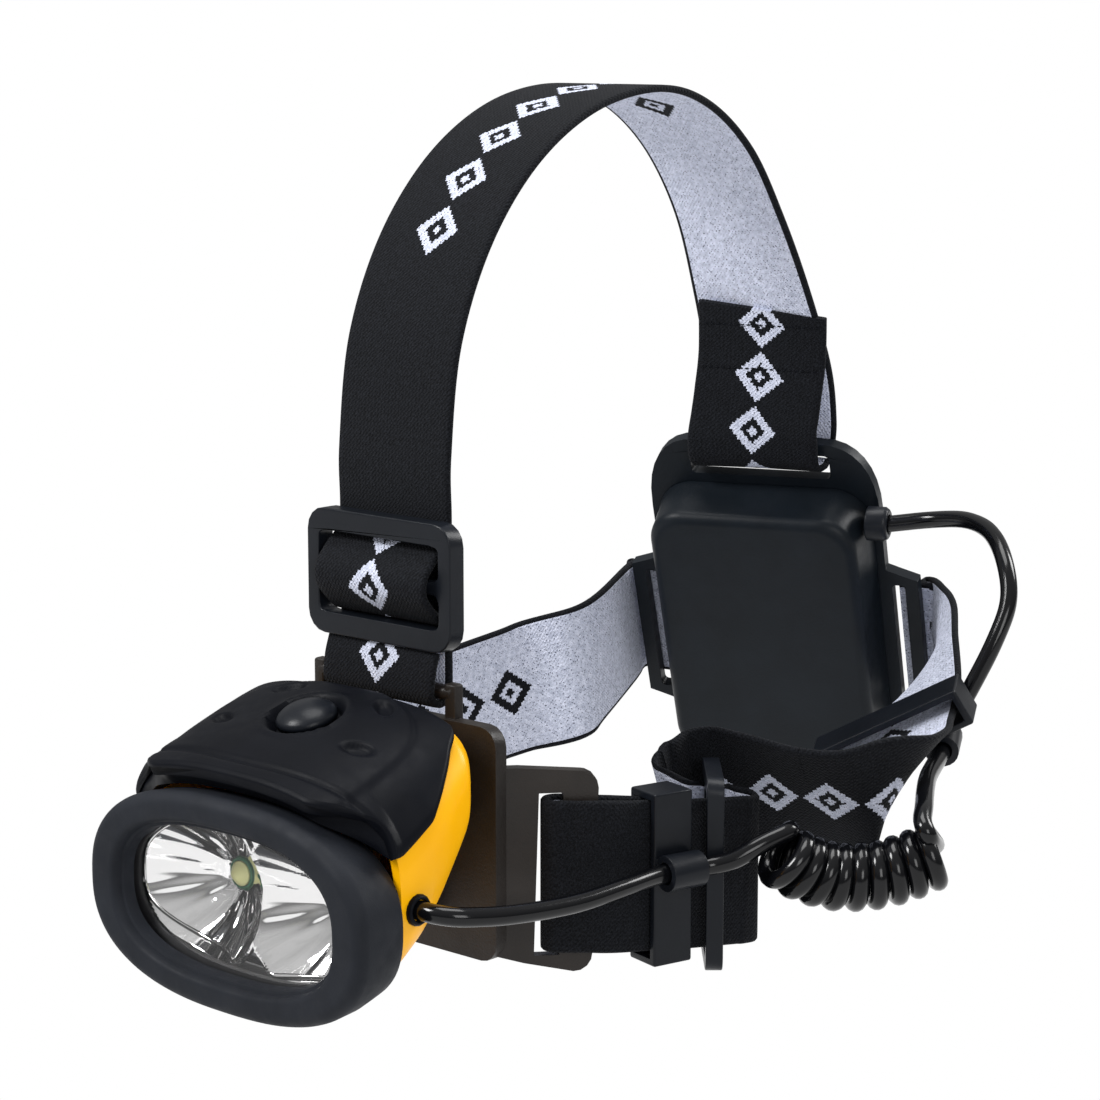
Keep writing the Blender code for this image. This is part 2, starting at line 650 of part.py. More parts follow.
def make_top_slider():
    wide, thick, high = SLIDER_SIZE
    front = STRAP_Y - BAND_THICK / 2 - GAP - thick
    window = 6.8
    frame = rounded(wide / 2, -high / 2, high / 2, 4.5)
    slider = flat_plate("top_slider", [
        frame, rounded(16.3, 1.3, 1.3 + window, 1.6), rounded(16.3, -1.3 - window, -1.3, 1.6),
    ], thick, BUCKLE)
    slider.location = mm(0, front, SLIDER_Z)
    behind = STRAP_Y - BAND_THICK - GAP
    bulge = front - GAP - BAND_THICK / 2
    keys = []
    for y, z in ((behind, 7.1), ((behind + bulge) / 2, 4.9), (bulge, 1.7)):
        keys.append((0, y, SLIDER_Z + z, 1, 0, 0))
    keys += [(x, y, 2 * SLIDER_Z - z, *rest) for x, y, z, *rest in reversed(keys)]
    ribbon("top_strap_bight", keys, 3)


REAR_ACROSS = (1.0, math.tan(math.radians(REAR_YAW)), 0.0)
SLOT_ACROSS = (1.0, math.tan(math.radians(BATTERY_TURN[0])), 0.0)


# ---- side bands ----------------------------------------------------------------------------
# Plan position and height of each band's middle line, then the direction across its width.
UPRIGHT = (0.0, 0.0, 1.0)
LEFT_FRONT_KEYS = (
    (45.4, 25.4, -1.6), (43.5, 17.6, -0.8), (39.8, 10.4, 0.2), (36.9, 6.9, 0.6), (34.2, 3.7, 0.8),
    (34.0, 1.6, 0.8), (35.4, 0.0, 0.8), (37.6, 0.0, 0.8), (39.7, 2.5, 0.6), (42.9, 6.4, 0.4),
    (45.0, 12.0, -0.4), (46.8, 19.0, -1.2), (48.4, 26.0, -2.2), (50.0, 33.0, -3.0),
    (51.6, 39.0, -3.6),
)
SLIDER_AT = (46.8, 36.6, -2.5)       # middle of the side slider
SLIDER_YAW = 42.0
FOLD_KEYS = (
    (52.1, 41.0, -3.8), (51.9, 43.6, -4.0), (50.0, 45.2, -4.0), (47.8, 44.6, -3.8),
    (45.6, 42.6, -3.2), (43.4, 40.2, -2.4), (41.4, 37.4, -1.0), (39.4, 35.2, 1.0),
    (37.2, 35.0, 2.6), (35.6, 36.6, 4.0), (35.2, 39.4, 5.4),
)
TURN_KEYS = (
    (35.2, 40.6, 5.8, 0.0, 0.0, 1.0), (35.4, 45.4, 7.0, 0.05, -0.05, 1.0),
    (38.6, 50.4, 8.2, 0.16, -0.24, 0.94), (46.0, 54.0, 9.0, 0.26, -0.46, 0.85),
    (55.8, 56.7, 8.8, 0.22, -0.58, 0.79),
)
LEFT_KEYS = (
    (56.4, 56.9, 8.8, 0.22, -0.58, 0.79), (64.0, 59.5, 8.4, 0.20, -0.50, 0.84),
    (68.2, 63.2, 8.6, 0.28, -0.16, 0.95), (67.4, 69.2, 9.5, 0.50, 0.16, 0.84),
    (62.0, 76.4, 11.5, 0.68, 0.34, 0.64), (55.3, 84.3, 13.8, 0.757, 0.424, 0.497),
    (48.2, 97.0, 17.0, 0.757, 0.424, 0.497), (41.0, 112.5, 19.5, 0.60, 0.25, 0.75),
    (35.0, 129.0, 21.5, 0.36, -0.10, 0.92), (28.6, 140.0, 22.0, 0.22, -0.30, 0.92),
)
RIGHT_KEYS = (
    (-43.0, 9.0, 0.4, 0.0, 0.0, 1.0), (-46.5, 22.0, 1.8, 0.0, 0.0, 1.0),
    (-50.0, 40.0, 4.4, 0.0, 0.0, 1.0), (-50.0, 60.0, 7.8, 0.0, 0.0, 1.0),
    (-45.0, 80.0, 11.6, 0.0, 0.05, 1.0), (-37.0, 94.0, 15.6, -0.06, 0.1, 0.99),
)


def wing_end(side):
    """The last stretch of a band, flat behind its battery wing and into the slot's mouth."""
    up_battery = tuple(battery_matrix().to_3x3() @ Vector((0, 0, 1)))
    behind = FRAME_THICK + BAND_THICK / 2 + GAP
    return [(*on_battery(side * x, y, WING_Z), *up_battery)
            for x, y in ((36.4, behind - 0.8), (33.0, behind + 0.3), (28.6, behind))]


def make_left_band():
    ribbon("left_band_front", [(*key, *UPRIGHT) for key in LEFT_FRONT_KEYS], 3)
    ribbon("left_band_fold", [(*key, *UPRIGHT) for key in FOLD_KEYS], 2)
    ribbon("left_band_turn", TURN_KEYS, 2)
    ribbon("left_band", list(LEFT_KEYS) + wing_end(1), 3)


def make_right_band():
    ribbon("right_band", list(RIGHT_KEYS) + wing_end(-1), 3)


def make_left_slider():
    """A flat three-bar slider stood on edge, so that the band threads it front to back."""
    wide, thick, high = 22.0, 3.4, 39.0
    frame = rounded(wide / 2, -high / 2, high / 2, 3.5)
    slider = flat_plate("left_slider", [
        frame, rounded(3.7, -16.8, 16.2, 1.4, -4.9), rounded(3.7, -16.8, 16.2, 1.4, 4.9),
    ], thick, BUCKLE)
    yaw = math.radians(90 + SLIDER_YAW)
    normal = Vector((math.sin(yaw), -math.cos(yaw), 0))
    slider.location = mm(*(Vector(SLIDER_AT) + normal * thick / 2))
    slider.rotation_euler = (0, 0, yaw)


def make_keeper(name, at, along, across, clip_z):
    """A loop round the band, its length along the strap, with a clip for the lead outside."""
    inner_deep, inner_high, wall, wide = 5.6, 31.6, 1.4, 9.0
    run = Vector(along).normalized()
    outward = run.cross(Vector(across)).normalized()
    upward = outward.cross(run)
    frame = Matrix.Translation(mm(*at)) @ Matrix((run, -outward, upward)).transposed().to_4x4()
    loop = block(name, (wide, inner_deep + 2 * wall, inner_high + 2 * wall), (0, 0, 0), BUCKLE, 0.5)
    hole = block(name + "_hole", (wide + 4, inner_deep, inner_high), (0, 0, 0), None,
                 folder=CUTTERS)
    clip = rod(name + "_clip", CABLE_RADIUS + 1.7, wide - 1, (0, 0, 0), "X", None, 20, CUTTERS)
    bore = rod(name + "_bore", CABLE_RADIUS + GAP, wide + 4, (0, 0, 0), "X", None, 16, CUTTERS)
    out = -inner_deep / 2 - wall - CABLE_RADIUS - 0.9
    for item, shift in ((loop, (0, 0, 0)), (hole, (0, 0, 0)), (clip, (0, out, clip_z)),
                        (bore, (0, out, clip_z))):
        base = item.rotation_euler.to_matrix().to_4x4()
        item.matrix_world = frame @ Matrix.Translation(mm(*shift)) @ base
    cut(loop, hole)
    join(loop, clip)
    cut(loop, bore)
    return loop


# ---- battery pack --------------------------------------------------------------------------
def battery_matrix():
    yaw, pitch = (math.radians(angle) for angle in BATTERY_TURN)
    turn = Matrix.Rotation(yaw, 4, "Z") @ Matrix.Rotation(pitch, 4, "X")
    return Matrix.Translation(mm(*BATTERY_AT)) @ turn


def on_battery(x, y, z):
    """A point of the battery pack's own frame, as world millimetres."""
    return tuple((battery_matrix() @ mm(x, y, z)) / MM)


def case_ring(y, inset):
    outline = rounded(CASE_WIDTH / 2 - inset, -CASE_HEIGHT / 2 + inset, CASE_HEIGHT / 2 - inset,
                      max(9.0 - inset, 2.0), corner=7)
    return [(x, y, z) for x, z in outline]


def make_case(hub):
    """The tub that holds the cells, its floor towards the head."""
    floor = -CASE_DEPTH
    rings = [
        (floor + 1.8, 4.2), (floor + 3.0, 3.2), (-GAP, 1.9),
        (-GAP, 0.0), (floor + 4.5, 1.2), (floor + 1.4, 1.7), (floor, 3.2),
    ]
    bm = bmesh.new()
    rows = [[bm.verts.new(mm(*p)) for p in case_ring(y, inset)] for y, inset in rings]
    for lower, upper in zip(rows, rows[1:]):
        for step in range(len(lower)):
            after = (step + 1) % len(lower)
            bm.faces.new((lower[step], lower[after], upper[after], upper[step]))
    bm.faces.new(rows[0])
    bm.faces.new(rows[-1])
    case = from_bmesh("battery_case", bm, CASE_PLASTIC, parent=hub)
    cut(case, rod("lead_hole", CABLE_RADIUS + GAP, 10, (CASE_WIDTH / 2, GLAND_Y, GLAND_Z), "X",
                  None, 16, CUTTERS, hub))
    return case


LID_Y = FRAME_THICK + 1.2 + 2 * GAP     # the lid's inner face
CELL_Y = -6.0
GLAND_Y = -5.5
GLAND_Z = 29.8
WING_Z = -7.0
SLOT_HIGH = 16.6


def make_frame(hub):
    """The flange behind the tub, with the strap slots in its head and its two wings."""
    half = CASE_WIDTH / 2 + 1.8
    high = CASE_HEIGHT / 2 + 1.6
    outline = [
        (half - 7, -high), (half - 1.5, -high + 3), (half, -high + 8), (half, WING_Z - 20.6),
        (30, WING_Z - 19.4), (34, WING_Z - 18), (34, WING_Z + 18), (30, WING_Z + 19.4),
        (half, WING_Z + 20.6),
    ]
    # The shoulder: a broad curve from the side up to the head that holds the strap.
    for step in range(9):
        x, z = math.cos(math.radians(90) * step / 8), math.sin(math.radians(90) * step / 8)
        outline.append((14 + (half - 14) * x ** 0.83, high - 9 + 18.6 * z ** 0.83))
    outline += [(-x, z) for x, z in reversed(outline)]
    holes = [
        rounded(22.0, -32.5, 32.5, 4.0), rounded(16.2, 37.2, 43.2, 1.2),
        rounded(1.5, WING_Z - SLOT_HIGH, WING_Z + SLOT_HIGH, 1.0, 29.4),
        rounded(1.5, WING_Z - SLOT_HIGH, WING_Z + SLOT_HIGH, 1.0, -29.4),
    ]
    frame = flat_plate("battery_frame", [outline] + holes, FRAME_THICK, CASE_PLASTIC, parent=hub)
    for side in (-1, 1):
        lug = block(f"lid_lug_{side}", (3.0, 7.4, 4.8), (side * 14.4, LID_Y + 0.2, LID_PIVOT_Z), None,
                    0.8, CUTTERS, hub)
        join(frame, lug)
    cut(frame, rod("lug_pin_hole", 1.0 + GAP, 36, (0, LID_Y + 1.5, LID_PIVOT_Z), "X", None, 12,
                   CUTTERS, hub))
    return frame


def make_lid(hub):
    flat = rounded(CASE_WIDTH / 2, -34.0, 34.0, 7.0)
    seal = flat_plate("battery_seal", [
        rounded(CASE_WIDTH / 2 - 0.6, -33.6, 33.6, 6.6), rounded(22.4, -32.9, 32.9, 4.4),
    ], 1.2, SEAL, parent=hub)
    seal.location = mm(0, FRAME_THICK + GAP, 0)
    lid = flat_plate("battery_lid", [flat], 3.0, CASE_PLASTIC, parent=hub)
    lid.location = mm(0, LID_Y, 0)
    barrel = rod("lid_barrel", 2.6, 24, (0, LID_Y + 1.5, LID_PIVOT_Z), "X", None, 16, CUTTERS, hub)
    web = block("lid_web", (24, 3.0, 5.0), (0, LID_Y + 1.5, LID_PIVOT_Z + 2.5), None,
                folder=CUTTERS, parent=hub)
    join(lid, barrel, web)
    cut(lid, rod("lid_pin_hole", 1.0 + GAP, 30, (0, LID_Y + 1.5, LID_PIVOT_Z), "X", None, 12,
                 CUTTERS, hub))
    rod("lid_pin", 1.0, 33, (0, LID_Y + 1.5, LID_PIVOT_Z), "X", STEEL, 12, parent=hub)


LID_PIVOT_Z = -38.4


def make_cells(hub):
    for index in range(3):
        x = (index - 1) * CELL_PITCH
        rod(f"cell_{index + 1}", CELL_RADIUS, CELL_LENGTH, (x, CELL_Y, 0), "Z", CELL_WRAP, 20,
            parent=hub)
        flip = 1 if index % 2 else -1
        rod(f"contact_spring_{index + 1}", 2.6, 4.2, (x, CELL_Y, flip * (CELL_LENGTH / 2 + 2.4)),
            "Z", STEEL, 12, parent=hub, tip=4.4)
    for name, side in (("contact_plate_top", 1), ("contact_plate_bottom", -1)):
        block(name, (40, 8, 0.6), (0, CELL_Y, side * (CELL_LENGTH / 2 + 5.1)), STEEL, parent=hub)


def make_battery():
    hub = bpy.data.objects.new("battery_pose", None)
    PARTS.objects.link(hub)
    hub.matrix_world = battery_matrix()
    make_case(hub)
    make_frame(hub)
    make_lid(hub)
    make_cells(hub)
    turned("battery_gland", [
        (3.2, 5.2), (3.9, 4.2), (3.9, GAP), (CABLE_RADIUS + GAP, GAP),
        (CABLE_RADIUS + GAP, 5.2), (3.2, 5.2),
    ], (CASE_WIDTH / 2, GLAND_Y, GLAND_Z), "X", BUCKLE, 16, parent=hub)


# ---- the lead ------------------------------------------------------------------------------
FRONT_LEAD_KEYS = (
    (37.5, -34.5, 1.5), (40.2, -34.0, 1.4), (43.6, -31.0, 1.0), (47.2, -22.0, 0.2),
    (50.0, -8.0, -0.3), (51.0, 4.0, 0.2), (51.33, 14.16, 0.6), (52.83, 19.97, 0.6),
    (54.4, 25.78, 0.6), (57.6, 28.8, 1.4), (60.6, 31.6, 3.0),
)
COIL_KEYS = (
    (61.8, 39.4, 1.5), (64.6, 42.2, -1.0), (69.8, 47.0, -3.1), (75.4, 52.2, -2.8),
    (80.4, 56.8, -0.8), (84.4, 60.4, 1.7),
)
REAR_LEAD_KEYS = (
    (83.0, 54.2, 8.2), (81.2, 59.4, 10.0), (76.1, 67.1, 11.0), (70.7, 75.7, 11.4),
    (66.2, 84.4, 11.6), (62.92, 91.62, 12.31), (60.57, 95.9, 13.38), (58.21, 100.18, 14.45),
    (58.0, 104.0, 17.6), (60.4, 107.4, 25.0), (62.8, 110.6, 33.0), (63.4, 114.6, 41.0),
    (59.6, 118.6, 48.2), (52.3, 124.3, 53.0), (43.5, 128.4, 54.4), (34.0, 129.6, 53.4),
    (24.6, 126.6, 51.8),
)


def make_lead():
    tube("cable_front", [p[:3] for p in smooth_line(FRONT_LEAD_KEYS, 4)], CABLE_RADIUS)
    tube("cable_coil", smooth_line(COIL_KEYS, 2), COIL_RADIUS)
    tube("cable_rear", [p[:3] for p in smooth_line(REAR_LEAD_KEYS, 4)], CABLE_RADIUS)


# ---- assembly ------------------------------------------------------------------------------
make_lamp()
make_bracket()
make_hinge()
make_pad()
make_top_strap()
make_strap_flap()
make_strap_loop()
make_top_slider()
make_left_band()
make_right_band()
make_left_slider()
make_keeper("front_keeper", (46.1, 21.7, -1.6), (0.25, 0.97, 0.0), UPRIGHT, 2.2)
make_keeper("rear_keeper", (51.7, 90.5, 15.5), (-0.47, 0.855, 0.214),
            (0.757, 0.424, 0.497), 8.0)
make_battery()
make_lead()
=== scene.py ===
"""The looks of the cap lamp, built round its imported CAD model. Lengths in the tables are millimetres."""

import math

import bmesh
import bpy
import numpy as np
from mathutils import Matrix, Vector


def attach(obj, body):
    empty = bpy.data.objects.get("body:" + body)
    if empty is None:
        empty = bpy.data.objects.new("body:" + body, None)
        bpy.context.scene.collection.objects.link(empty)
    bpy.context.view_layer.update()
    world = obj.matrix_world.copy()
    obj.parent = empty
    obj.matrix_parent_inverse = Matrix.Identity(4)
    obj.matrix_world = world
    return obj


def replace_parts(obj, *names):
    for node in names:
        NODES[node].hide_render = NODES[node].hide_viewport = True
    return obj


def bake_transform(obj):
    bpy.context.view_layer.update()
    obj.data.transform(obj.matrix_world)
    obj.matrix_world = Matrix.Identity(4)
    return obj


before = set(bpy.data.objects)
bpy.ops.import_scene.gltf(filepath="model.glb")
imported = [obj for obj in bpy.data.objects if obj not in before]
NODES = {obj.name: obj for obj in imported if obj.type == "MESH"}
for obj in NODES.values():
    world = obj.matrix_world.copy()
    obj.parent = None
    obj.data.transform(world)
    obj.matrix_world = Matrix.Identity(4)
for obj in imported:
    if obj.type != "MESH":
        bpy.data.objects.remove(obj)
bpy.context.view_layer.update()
MM = 0.001
WELD_WITHIN = 0.01 * MM


# ---- camera --------------------------------------------------------------------------------
CAMERA_TURN, CAMERA_RISE = 42, 10
CAMERA_AT = (0.4065, -0.41076, 0.16135)
FOCAL, SENSOR = 98.18, 36.0


def make_camera():
    """A camera without roll, turned to the object's left and looking down on it."""
    turn, rise = math.radians(CAMERA_TURN), math.radians(CAMERA_RISE)
    right = Vector((math.cos(turn), math.sin(turn), 0))
    back = Vector((math.sin(turn) * math.cos(rise), -math.cos(turn) * math.cos(rise), math.sin(rise)))
    axes = Matrix((right, back.cross(right), back)).transposed().to_4x4()
    data = bpy.data.cameras.new("camera")
    data.lens, data.sensor_width = FOCAL, SENSOR
    data.clip_start = 0.02
    camera = bpy.data.objects.new("camera", data)
    bpy.context.scene.collection.objects.link(camera)
    camera.matrix_world = Matrix.Translation(CAMERA_AT) @ axes
    bpy.context.scene.camera = camera


make_camera()


# ---- node and mesh helpers -----------------------------------------------------------------
def set_stops(ramp, stops):
    """Give a colour ramp these (place, grey or colour) stops."""
    points = ramp.color_ramp.elements
    while len(points) < len(stops):
        points.new(0.5)
    for point, (place, value) in zip(points, stops):
        point.position = place
        point.color = (*value, 1.0) if isinstance(value, tuple) else (value, value, value, 1.0)


class Net:
    """A material's node tree, with short ways to add to it."""

    def __init__(self, name, colour, roughness, metallic=0.0):
        self.material = bpy.data.materials.new(name)
        self.material.use_nodes = True
        self.tree = self.material.node_tree
        self.shader = self.tree.nodes["Principled BSDF"]
        self.shader.inputs["Base Color"].default_value = (*colour, 1.0)
        self.shader.inputs["Roughness"].default_value = roughness
        self.shader.inputs["Metallic"].default_value = metallic

    def add(self, kind, **inputs):
        node = self.tree.nodes.new(kind)
        for key, value in inputs.items():
            self.set(node.inputs[key.replace("_", " ")], value)
        return node

    def set(self, socket, value):
        if isinstance(value, bpy.types.NodeSocket):
            self.tree.links.new(value, socket)
        else:
            socket.default_value = value

    def math(self, operation, *values):
        node = self.tree.nodes.new("ShaderNodeMath")
        node.operation = operation
        for socket, value in zip(node.inputs, values):
            self.set(socket, value)
        return node.outputs[0]

    def steps(self, value, size):
        """The value taken down to a whole number of steps of that size."""
        return self.math("MULTIPLY", self.math("FLOOR", self.math("DIVIDE", value, size)), size)

    def place(self, scale=(1.0, 1.0, 1.0)):
        """The object's own coordinates, in metres times scale."""
        where = self.tree.nodes.new("ShaderNodeTexCoord").outputs["Object"]
        move = self.add("ShaderNodeMapping", Vector=where, Scale=scale)
        return move.outputs[0]

    def noise(self, scale, detail=3.0, vector=None):
        node = self.add("ShaderNodeTexNoise", Scale=scale, Detail=detail)
        self.set(node.inputs["Vector"], vector or self.place())
        return node.outputs["Fac"]

    def ramp(self, factor, *stops):
        node = self.tree.nodes.new("ShaderNodeValToRGB")
        self.set(node.inputs[0], factor)
        set_stops(node, stops)
        return node.outputs[0]

    def mix(self, factor, low, high):
        node = self.tree.nodes.new("ShaderNodeMix")
        node.data_type = "RGBA"
        self.set(node.inputs[0], factor)
        self.set(node.inputs[6], low)
        self.set(node.inputs[7], high)
        return node.outputs[2]

    def bump(self, height, strength, distance):
        node = self.add("ShaderNodeBump", Height=height, Strength=strength, Distance=distance)
        self.set(self.shader.inputs["Normal"], node.outputs[0])


def plastic(name, colour, roughness, grain, depth, spread=0.12, specular=0.5):
    """A moulded plastic: a spark-eroded grain of that many marks a metre, and a faint mottle."""
    net = Net(name, colour, roughness)
    darker, lighter = (tuple(min(1.0, c * share) for c in colour) for share in (1 - spread, 1 + spread))
    net.set(net.shader.inputs["Base Color"], net.ramp(net.noise(90.0), (0.35, darker), (0.65, lighter)))
    net.set(net.shader.inputs["Roughness"],
            net.ramp(net.noise(300.0), (0.3, roughness * 0.88), (0.7, min(1.0, roughness * 1.12))))
    net.shader.inputs["Specular IOR Level"].default_value = specular
    net.bump(net.noise(grain, 2.0), 0.5, depth)
    return net.material


# The strap's chart counts in hundreds of millimetres. The rest here is in millimetres.
CHART_UNIT = 100.0
THREAD, RIB_EVERY, CORD_EVERY = 0.5, 0.95, 0.9
LOZENGE_PITCH, LOZENGE_HALF = 12.4, 6.0
FIGURE_EVERY = 14 * LOZENGE_PITCH
BORDER_AT = 13.9


def webbing(name, inner):
    """Woven elastic with a lozenge motif: light figure on black outside, the reverse inside."""
    net = Net(name, (0.0, 0.0, 0.0), 0.85)
    chart = net.tree.nodes.new("ShaderNodeUVMap")
    chart.uv_map = "weave"
    parts = net.add("ShaderNodeSeparateXYZ", Vector=chart.outputs[0])
    along, across = (net.math("MULTIPLY", parts.outputs[i], CHART_UNIT) for i in (0, 1))
    row = net.steps(along, THREAD)
    shift = net.math("MULTIPLY", net.math("PINGPONG", row, THREAD), 0.5)
    column = net.steps(net.math("ADD", across, shift), THREAD)
    # The motif: hollow lozenges with a dot, on one half of each FIGURE_EVERY. Some straps' charts
    # start below zero, so ten whole lengths are added first.
    half_pitch = LOZENGE_PITCH / 2
    cell = net.math("SUBTRACT", half_pitch, net.math("PINGPONG", row, half_pitch))
    lozenge = net.math("ADD", net.math("DIVIDE", cell, LOZENGE_HALF),
                       net.math("DIVIDE", net.math("ABSOLUTE", column), LOZENGE_HALF))
    ring = net.math("MULTIPLY", net.math("GREATER_THAN", lozenge, 0.50), net.math("LESS_THAN", lozenge, 0.93))
    dot = net.math("LESS_THAN", lozenge, 0.20)
    place = net.math("MODULO", net.math("ADD", row, 10 * FIGURE_EVERY), FIGURE_EVERY)
    figure = net.math("MULTIPLY", net.math("MAXIMUM", ring, dot),
                      net.math("LESS_THAN", place, FIGURE_EVERY / 2))
    # Single threads: ribs across the strap and cords along it.
    ribs = net.math("SINE", net.math("MULTIPLY", along, 2 * math.pi / RIB_EVERY))
    cords = net.math("SINE", net.math("ADD", net.math("MULTIPLY", across, 2 * math.pi / CORD_EVERY),
                                      net.math("MULTIPLY", ribs, 0.6)))
    weave = net.math("MULTIPLY", ribs, cords)
    grain = net.noise(900.0, 2.0)
    lint = net.noise(2600.0, 1.0)
    border = net.math("GREATER_THAN", net.math("ABSOLUTE", across), BORDER_AT)
    light = net.ramp(grain, (0.3, (0.46, 0.49, 0.60)), (0.7, (0.70, 0.73, 0.86)))
    dark = net.ramp(lint, (0.35, (0.0028, 0.0032, 0.0045)), (0.75, (0.0105, 0.0118, 0.0155)))
    if inner:
        fleck = net.math("GREATER_THAN", net.math("ADD", net.math("MULTIPLY", weave, 0.16), lint), 0.70)
        ground = net.mix(fleck, light, (0.13, 0.14, 0.19, 1.0))
        colour = net.mix(net.math("MAXIMUM", figure, border), ground, dark)
    else:
        fleck = net.math("GREATER_THAN", net.math("ADD", net.math("MULTIPLY", weave, 0.2), grain), 0.70)
        figured = net.mix(fleck, light, (0.20, 0.21, 0.26, 1.0))
        colour = net.mix(net.math("SUBTRACT", figure, net.math("MULTIPLY", border, figure)), dark, figured)
    net.set(net.shader.inputs["Base Color"], colour)
    net.shader.inputs["Specular IOR Level"].default_value = 0.12
    net.shader.inputs["Sheen Weight"].default_value = 0.02
    net.shader.inputs["Sheen Roughness"].default_value = 0.5
    height = net.math("ADD", net.math("MULTIPLY", weave, 0.5), net.math("MULTIPLY", lint, 0.9))
    height = net.math("ADD", height, net.math("MULTIPLY", figure, 0.35))
    net.bump(height, 0.8, 0.00022)
    return net.material


def metal(name, colour, roughness, scale=(400.0, 400.0, 400.0), depth=0.00002):
    """A bare metal with fine streaks, as many a metre along each axis as the scale says."""
    net = Net(name, colour, roughness, 1.0)
    streak = net.noise(1.0, 3.0, net.place(scale))
    net.set(net.shader.inputs["Roughness"], net.ramp(streak, (0.3, roughness * 0.8), (0.7, roughness * 1.3)))
    net.bump(streak, 0.3, depth)
    return net.material


RUBBER = plastic("bezel_rubber_look", (0.0125, 0.0145, 0.0195), 0.62, 2600.0, 0.00005, specular=0.16)
SOFT = plastic("soft_touch_look", (0.0032, 0.0038, 0.0060), 0.46, 3200.0, 0.00003, specular=0.075)
YELLOW = plastic("yellow_shell_look", (1.0, 0.47, 0.0), 0.36, 1800.0, 0.00002, 0.03, 0.25)
BRACKET = plastic("bracket_look", (0.014, 0.0105, 0.0085), 0.44, 2400.0, 0.00012, 0.2, 0.34)
BUCKLE = plastic("buckle_look", (0.006, 0.0075, 0.0108), 0.34, 1500.0, 0.00004, specular=0.2)
CASE = plastic("case_look", (0.0062, 0.0088, 0.0122), 0.40, 2200.0, 0.00006, specular=0.15)
JACKET = plastic("jacket_look", (0.0025, 0.0027, 0.0036), 0.15, 500.0, 0.00002, specular=0.34)
FOAM = plastic("foam_look", (0.012, 0.012, 0.013), 0.95, 1300.0, 0.0004)
SEAL = plastic("seal_look", (0.02, 0.02, 0.022), 0.7, 1200.0, 0.00004)
BOARD = plastic("board_look", (0.02, 0.16, 0.07), 0.42, 900.0, 0.00003)
WRAP = plastic("wrap_look", (0.05, 0.13, 0.28), 0.3, 700.0, 0.00002)
PHOSPHOR = plastic("phosphor_look", (0.95, 0.90, 0.42), 0.35, 1500.0, 0.00002)
STEEL = metal("steel_look", (0.58, 0.58, 0.60), 0.28)
ALUMINIUM = metal("aluminium_look", (0.70, 0.70, 0.72), 0.35, (60.0, 2000.0, 2000.0))
CHROME = metal("chrome_look", (0.97, 0.965, 0.965), 0.045, (160.0, 160.0, 160.0), 0.00004)
OUTSIDE = webbing("webbing_outside", False)
INSIDE = webbing("webbing_inside", True)


def make_glass():
    """Clear glass that lets light straight through and reflects on its outer faces only."""
    net = Net("lens_look", (1.0, 1.0, 1.0), 0.03)
    clear = net.add("ShaderNodeBsdfTransparent", Color=(0.98, 0.98, 0.98, 1.0))
    gloss = net.add("ShaderNodeBsdfGlossy", Color=(1.0, 1.0, 1.0, 1.0), Roughness=0.03)
    share = net.add("ShaderNodeFresnel", IOR=1.45).outputs[0]
    inside = net.tree.nodes.new("ShaderNodeNewGeometry").outputs["Backfacing"]
    share = net.math("MULTIPLY", share, net.math("SUBTRACT", 1.0, inside))
    both = net.tree.nodes.new("ShaderNodeMixShader")
    for socket, value in zip(both.inputs, (share, clear.outputs[0], gloss.outputs[0])):
        net.set(socket, value)
    net.set(net.tree.nodes["Material Output"].inputs["Surface"], both.outputs[0])
    net.tree.nodes.remove(net.shader)
    return net.material


GLASS = make_glass()


def link(name, mesh, *finishes):
    """A new object in the scene with that mesh and those materials."""
    made = bpy.data.objects.new(name, mesh)
    bpy.context.scene.collection.objects.link(made)
    for finish in finishes:
        mesh.materials.append(finish)
    return made


def skin(name, rings, *finishes, closed=False, angle=40):
    """Faces between rings of equally many points in millimetres, with both ends capped.

    Where closed, the last ring joins the first instead.
    """
    points = np.array(rings, float) * MM
    count, around = points.shape[:2]
    mesh = bpy.data.meshes.new(name)
    faces = []
    for row in range(count if closed else count - 1):
        after = (row + 1) % count
        for step in range(around):
            right = (step + 1) % around
            faces.append((row * around + step, row * around + right,
                          after * around + right, after * around + step))
    if not closed:
        faces.append(tuple(range(around))[::-1])
        faces.append(tuple((count - 1) * around + step for step in range(around)))
    mesh.from_pydata(points.reshape(-1, 3).tolist(), [], faces)
    bm = bmesh.new()
    bm.from_mesh(mesh)
    bmesh.ops.recalc_face_normals(bm, faces=bm.faces)
    bm.to_mesh(mesh)
    bm.free()
    mesh.shade_smooth()
    mesh.set_sharp_from_angle(angle=math.radians(angle))
    return link(name, mesh, *finishes)


def smooth_line(keys, steps):
    """Points on a Catmull-Rom curve through the keys."""
    keys = np.array(keys, float)
    padded = np.vstack([keys[:1], keys, keys[-1:]])
    points = []
    for part in range(len(keys) - 1):
        a, b, c, d = padded[part:part + 4]
        for step in range(steps):
            t = step / steps
            points.append(0.5 * (2 * b + (c - a) * t + (2 * a - 5 * b + 4 * c - d) * t * t
                                 + (3 * b - a - 3 * c + d) * t ** 3))
    points.append(keys[-1])
    return np.array(points)


def circle_angles(count):
    """That many angles, evenly round a circle."""
    return np.linspace(0, 2 * math.pi, count + 1)[:-1]


def units(rows):
    """Each row at a length of one."""
    return rows / np.linalg.norm(rows, axis=1)[:, None]


def lengths_along(points):
    """How far along the line each of its points lies."""
    return np.concatenate([[0], np.cumsum(np.linalg.norm(np.diff(points, axis=0), axis=1))])


def point_at(length, reach, points):
    """The point at that length along a line, where reach is its lengths_along."""
    return np.array([np.interp(length, reach, points[:, i]) for i in range(3)])


